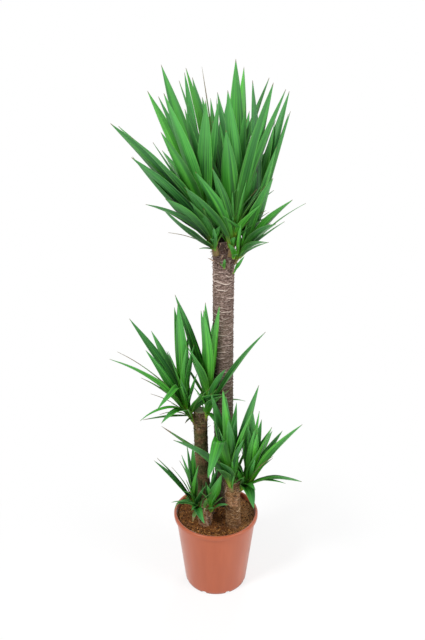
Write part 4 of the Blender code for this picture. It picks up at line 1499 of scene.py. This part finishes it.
def soil_height(x, y):
    """How high the roughened soil lies above its smooth dome."""
    spot = Vector((x, y, 0))
    lumps = noise.fractal(spot * 42, 1.0, 2.2, 3)
    grit = noise.noise(spot * 210 + Vector((3, 1, 4)))
    edge = min(max((SOIL_RADIUS - math.hypot(x, y)) / 0.012, 0), 1)
    return (LUMPS * lumps + GRIT * grit - SETTLED) * (0.35 + 0.65 * edge)


profile = [(wall_radius(0.009) - WALL - SOIL_GAP, SOIL_BOTTOM)]
profile.append((SOIL_RADIUS - 0.0002, EDGE_LEVEL - 0.004))
inwards = [1 - k / SOIL_RINGS for k in range(SOIL_RINGS)]
profile += [(SOIL_RADIUS * share, dome_height(share)) for share in inwards]
soil = pull_disc("soil_body", profile, SOIL_SIDES)
points = points_of(soil.data)
for point in points:
    if point[2] > EDGE_LEVEL - 0.001:
        point[2] += soil_height(point[0], point[1])
move_points(soil.data, points)
smooth(soil, 70)
print("soil", len(soil.data.vertices), "vertices, its top at", round(points[:, 2].max(), 4), "m")

# %% [markdown]
# ## Crumbs and fibres
#
# Loose on top lie crumbs of peat and bits of root. A crumb is an icosphere, knocked out of shape
# and flattened; a fibre is a bent thread. Each is modelled once and strewn by the hundred, on
# free spots that keep clear of the middles of the two short canes.

# %% Free spots and chance turns
CLEARANCE = 0.01            # from the middle of a short cane
CANE_FEET = [(Vector(low) + Vector(high)) / 2 for low, high in map(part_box, CANES[2:])]


def on_soil(luck, sunk):
    """A free spot on the soil, clear of the canes."""
    while True:
        away, turn = SOIL_RADIUS * 0.985 * math.sqrt(luck.random()), luck.uniform(0, math.tau)
        x, y = away * math.cos(turn), away * math.sin(turn)
        if all(math.hypot(x - foot.x, y - foot.y) > CLEARANCE for foot in CANE_FEET):
            z = dome_height(away / SOIL_RADIUS) + soil_height(x, y)
            return np.array([x, y, z - sunk])


def any_turn(luck):
    axis = Vector((luck.gauss(0, 1), luck.gauss(0, 1), luck.gauss(0, 1))).normalized()
    return Matrix.Rotation(luck.uniform(0, math.tau), 3, axis)


def lying(luck):
    """A turn that lays an upright fibre nearly flat."""
    tilt = Matrix.Rotation(math.radians(90 + luck.gauss(0, 9)), 3, "X")
    last = Matrix.Rotation(luck.uniform(0, math.tau), 3, "Z")
    return last @ tilt @ Matrix.Rotation(luck.uniform(0, math.tau), 3, "Z")


print("keeping clear of", len(CANE_FEET), "short canes")

# %% [markdown]
# Both masters are small and plain, since hundreds of copies are made: a crumb has twenty faces
# and a fibre twenty. Shape comes from knocking the crumb's corners about and from bending the
# fibre two ways.

# %% Model a crumb and a fibre
FIBRE_LENGTH, FIBRE_RADIUS = 0.016, 0.0004
FIBRE_CUTS = 4

bpy.ops.mesh.primitive_ico_sphere_add(subdivisions=1, radius=1.0)
crumb = added("crumb")
edit(crumb, anything)
bpy.ops.transform.vertex_random(offset=0.35, seed=4)
bpy.ops.transform.resize(value=(1.3, 1.0, 0.7), center_override=(0, 0, 0))
done()
bpy.ops.mesh.primitive_cylinder_add(
    vertices=4, radius=FIBRE_RADIUS, depth=FIBRE_LENGTH, end_fill_type="NOTHING"
)
fibre = added("fibre")
edit(fibre, lambda edge: rises(edge, 0.01), "EDGE")
bpy.ops.mesh.subdivide(number_cuts=FIBRE_CUTS)
done()
bent = points_of(fibre.data)
along = bent[:, 2] / (FIBRE_LENGTH / 2)
bent[:, 0] += 0.003 * np.cos(along * 1.3)
bent[:, 1] += 0.0012 * np.sin(along * 2.4)
move_points(fibre.data, bent)
print("a crumb has", len(crumb.data.polygons), "faces, a fibre", len(fibre.data.polygons))

# %% [markdown]
# A place for a copy is a spot, a turn and a size, all three by chance but from one fixed seed,
# so that the soil comes out the same each time. Crumbs sit a little in the soil, fibres on it.

# %% Strew crumbs and fibres
CRUMBS, CRUMB_SIZES, CRUMB_SUNK = 1500, (0.0008, 0.0036), 0.0006
FIBRES, FIBRE_SIZES, FIBRE_RAISED = 420, (0.35, 1.1), 0.0004


def chance_places(luck, count, sunk, turn, sizes):
    return [(on_soil(luck, sunk), turn(luck), luck.uniform(*sizes)) for _ in range(count)]


luck = random.Random(5)
crumb_places = chance_places(luck, CRUMBS, CRUMB_SUNK, any_turn, CRUMB_SIZES)
fibre_places = chance_places(luck, FIBRES, -FIBRE_RAISED, lying, FIBRE_SIZES)
crumbs = strew("soil_crumbs", crumb, crumb_places)
fibres = strew("soil_fibres", fibre, fibre_places)
for item in (crumb, fibre):
    bpy.data.objects.remove(item)

# %% [markdown]
# ## Soil colours
#
# Damp peat is dark brown and quite matt, with lighter clods; towards the right it is painted
# paler, a painted light that lifts the shade there. Every crumb and fibre has one flat colour
# between a dark and a light one, picked by the chance that it carries.

# %% Paint the soil
soil_paint = Paint("soil", Specular_IOR_Level=0.2)
grit = soil_paint.noise(soil_paint.place(), 420.0, detail=4, roughness=0.7)
clods = soil_paint.noise(soil_paint.place(), 70.0)
painted_light_right = soil_paint.axis(0).between(0.03, 0.10)
tone = soil_paint.coats(
    srgb(38, 20, 6),
    (grit.between(0.35, 0.65), (126, 76, 34)),
    (clods.between(0.5, 0.75) * 0.6, (158, 106, 54)),
    # painted light: the soil on the right is painted paler
    (painted_light_right * grit.between(0.40, 0.60) * 0.5, (186, 146, 100)),
)
belongs(soil, "soil", soil_paint.finish(tone, 0.95, grit + clods, bump=0.8, depth=0.0015), "soil")

crumb_paint = Paint("soil_crumbs", Specular_IOR_Level=0.2)
pale = crumb_paint.attribute("chance") ** 1.5
tone = crumb_paint.coats(srgb(36, 19, 7), (pale, (182, 126, 68)))
belongs(crumbs, "soil", crumb_paint.finish(tone, 0.95))

fibre_paint = Paint("soil_fibres")
tone = fibre_paint.coats(srgb(104, 66, 42), (fibre_paint.attribute("chance"), (196, 150, 108)))
belongs(fibres, "soil", fibre_paint.finish(tone, 0.9))

# %% [markdown]
# ## Floor and surround
#
# The plant stands in a white product studio. The floor is white, and to the camera it shines by
# itself, about three quarters near the pot and fully further away. So it melts into the
# background, and only the shadow round the pot stays. The surround is white too, and dimmer as a
# light than it looks.

# %% The white studio
FLOOR_WHITE = 0.93
FLOOR_SHINE_NEAR, FLOOR_SHINE_MORE = 0.74, 0.26
SKY_AS_LIGHT, SKY_AS_SEEN = 0.46, 1.0

bpy.ops.mesh.primitive_plane_add(size=30, location=(0, 0, 0))
floor = added("studio_floor")
floor_paint = Paint("studio_floor")
diffuse = floor_paint.node("ShaderNodeBsdfDiffuse", None, {"Color": (*[FLOOR_WHITE] * 3, 1)})
glow = floor_paint.node("ShaderNodeEmission", None, {"Color": (1, 1, 1, 1), "Strength": 1.0})
seen = floor_paint.node("ShaderNodeLightPath", output="Is Camera Ray")
away = floor_paint.node("ShaderNodeVectorMath", {"operation": "LENGTH"}, {0: floor_paint.place()}, 1)
share = away.between(0.20, 0.90) * FLOOR_SHINE_MORE + FLOOR_SHINE_NEAR
mixed = floor_paint.node("ShaderNodeMixShader", None, {0: seen * share, 1: diffuse, 2: glow})
floor_paint.feed(floor_paint.tree.nodes["Material Output"].inputs["Surface"], mixed)
floor.data.materials.append(floor_paint.material)

scene = bpy.context.scene
scene.world = bpy.data.worlds.new("studio")
scene.world.use_nodes = True
studio = Nodes(scene.world.node_tree)
straight = studio.node("ShaderNodeLightPath", output="Is Camera Ray")
for kind in ("Glossy", "Transmission"):
    other = studio.node("ShaderNodeLightPath", output=f"Is {kind} Ray")
    straight = studio.node("ShaderNodeMath", {"operation": "MAXIMUM"}, {0: straight, 1: other})
limits = {"Value": straight, "To Min": SKY_AS_LIGHT, "To Max": SKY_AS_SEEN}
level = studio.node("ShaderNodeMapRange", None, limits)
sky = studio.tree.nodes["Background"]
studio.feed(sky.inputs["Color"], (1, 1, 1, 1))
studio.feed(sky.inputs["Strength"], level)
print("studio surround:", len(studio.tree.nodes), "nodes")

# %% [markdown]
# ## Lamps
#
# Three soft round lamps model the shapes: the key high in front on the left, a weaker fill on
# the right, and one behind that rims the leaves. A larger lamp gives softer shadows.

# %% Set the lamps
def lamp(name, place, aim_height, size, power):
    data = bpy.data.lights.new(name, "AREA")
    data.shape, data.size, data.energy = "DISK", size, power
    item = placed(name, data)
    item.location = place
    aim = Vector((0, 0, aim_height)) - Vector(place)
    item.rotation_euler = aim.to_track_quat("-Z", "Y").to_euler()
    print(name, size, "m across,", power, "W")


lamp("key_lamp", (-2.2, -2.0, 3.3), 0.8, 1.0, 112)
lamp("fill_lamp", (2.6, -1.6, 1.8), 0.8, 1.8, 53)
lamp("back_lamp", (0.6, 2.4, 3.0), 1.0, 1.4, 26)

# %% [markdown]
# ## Camera
#
# The plant is seen from eye height, close by, looking a little down. The camera could be aimed
# with a constraint; a place and one pitch angle say the same and can be read at a glance.

# %% Place the camera
PITCH_DOWN = 21.88          # degrees below level
camera = placed("camera", bpy.data.cameras.new("camera"))
camera.location = (-0.011, -1.9141, 1.6857)
camera.rotation_euler = (math.radians(90 - PITCH_DOWN), 0, 0)
camera.data.sensor_width = 36
camera.data.lens = 40.2
scene.camera = camera
scene.view_settings.view_transform = "Standard"
print("camera", round(camera.location.length, 2), "m from the pot's foot")
print("lens", round(camera.data.lens, 1), "mm")

# %% [markdown]
# ## Closing
#
# The blade that every leaf was copied from leaves the workbench.

# %% Clear the workbench
bpy.data.objects.remove(blade)
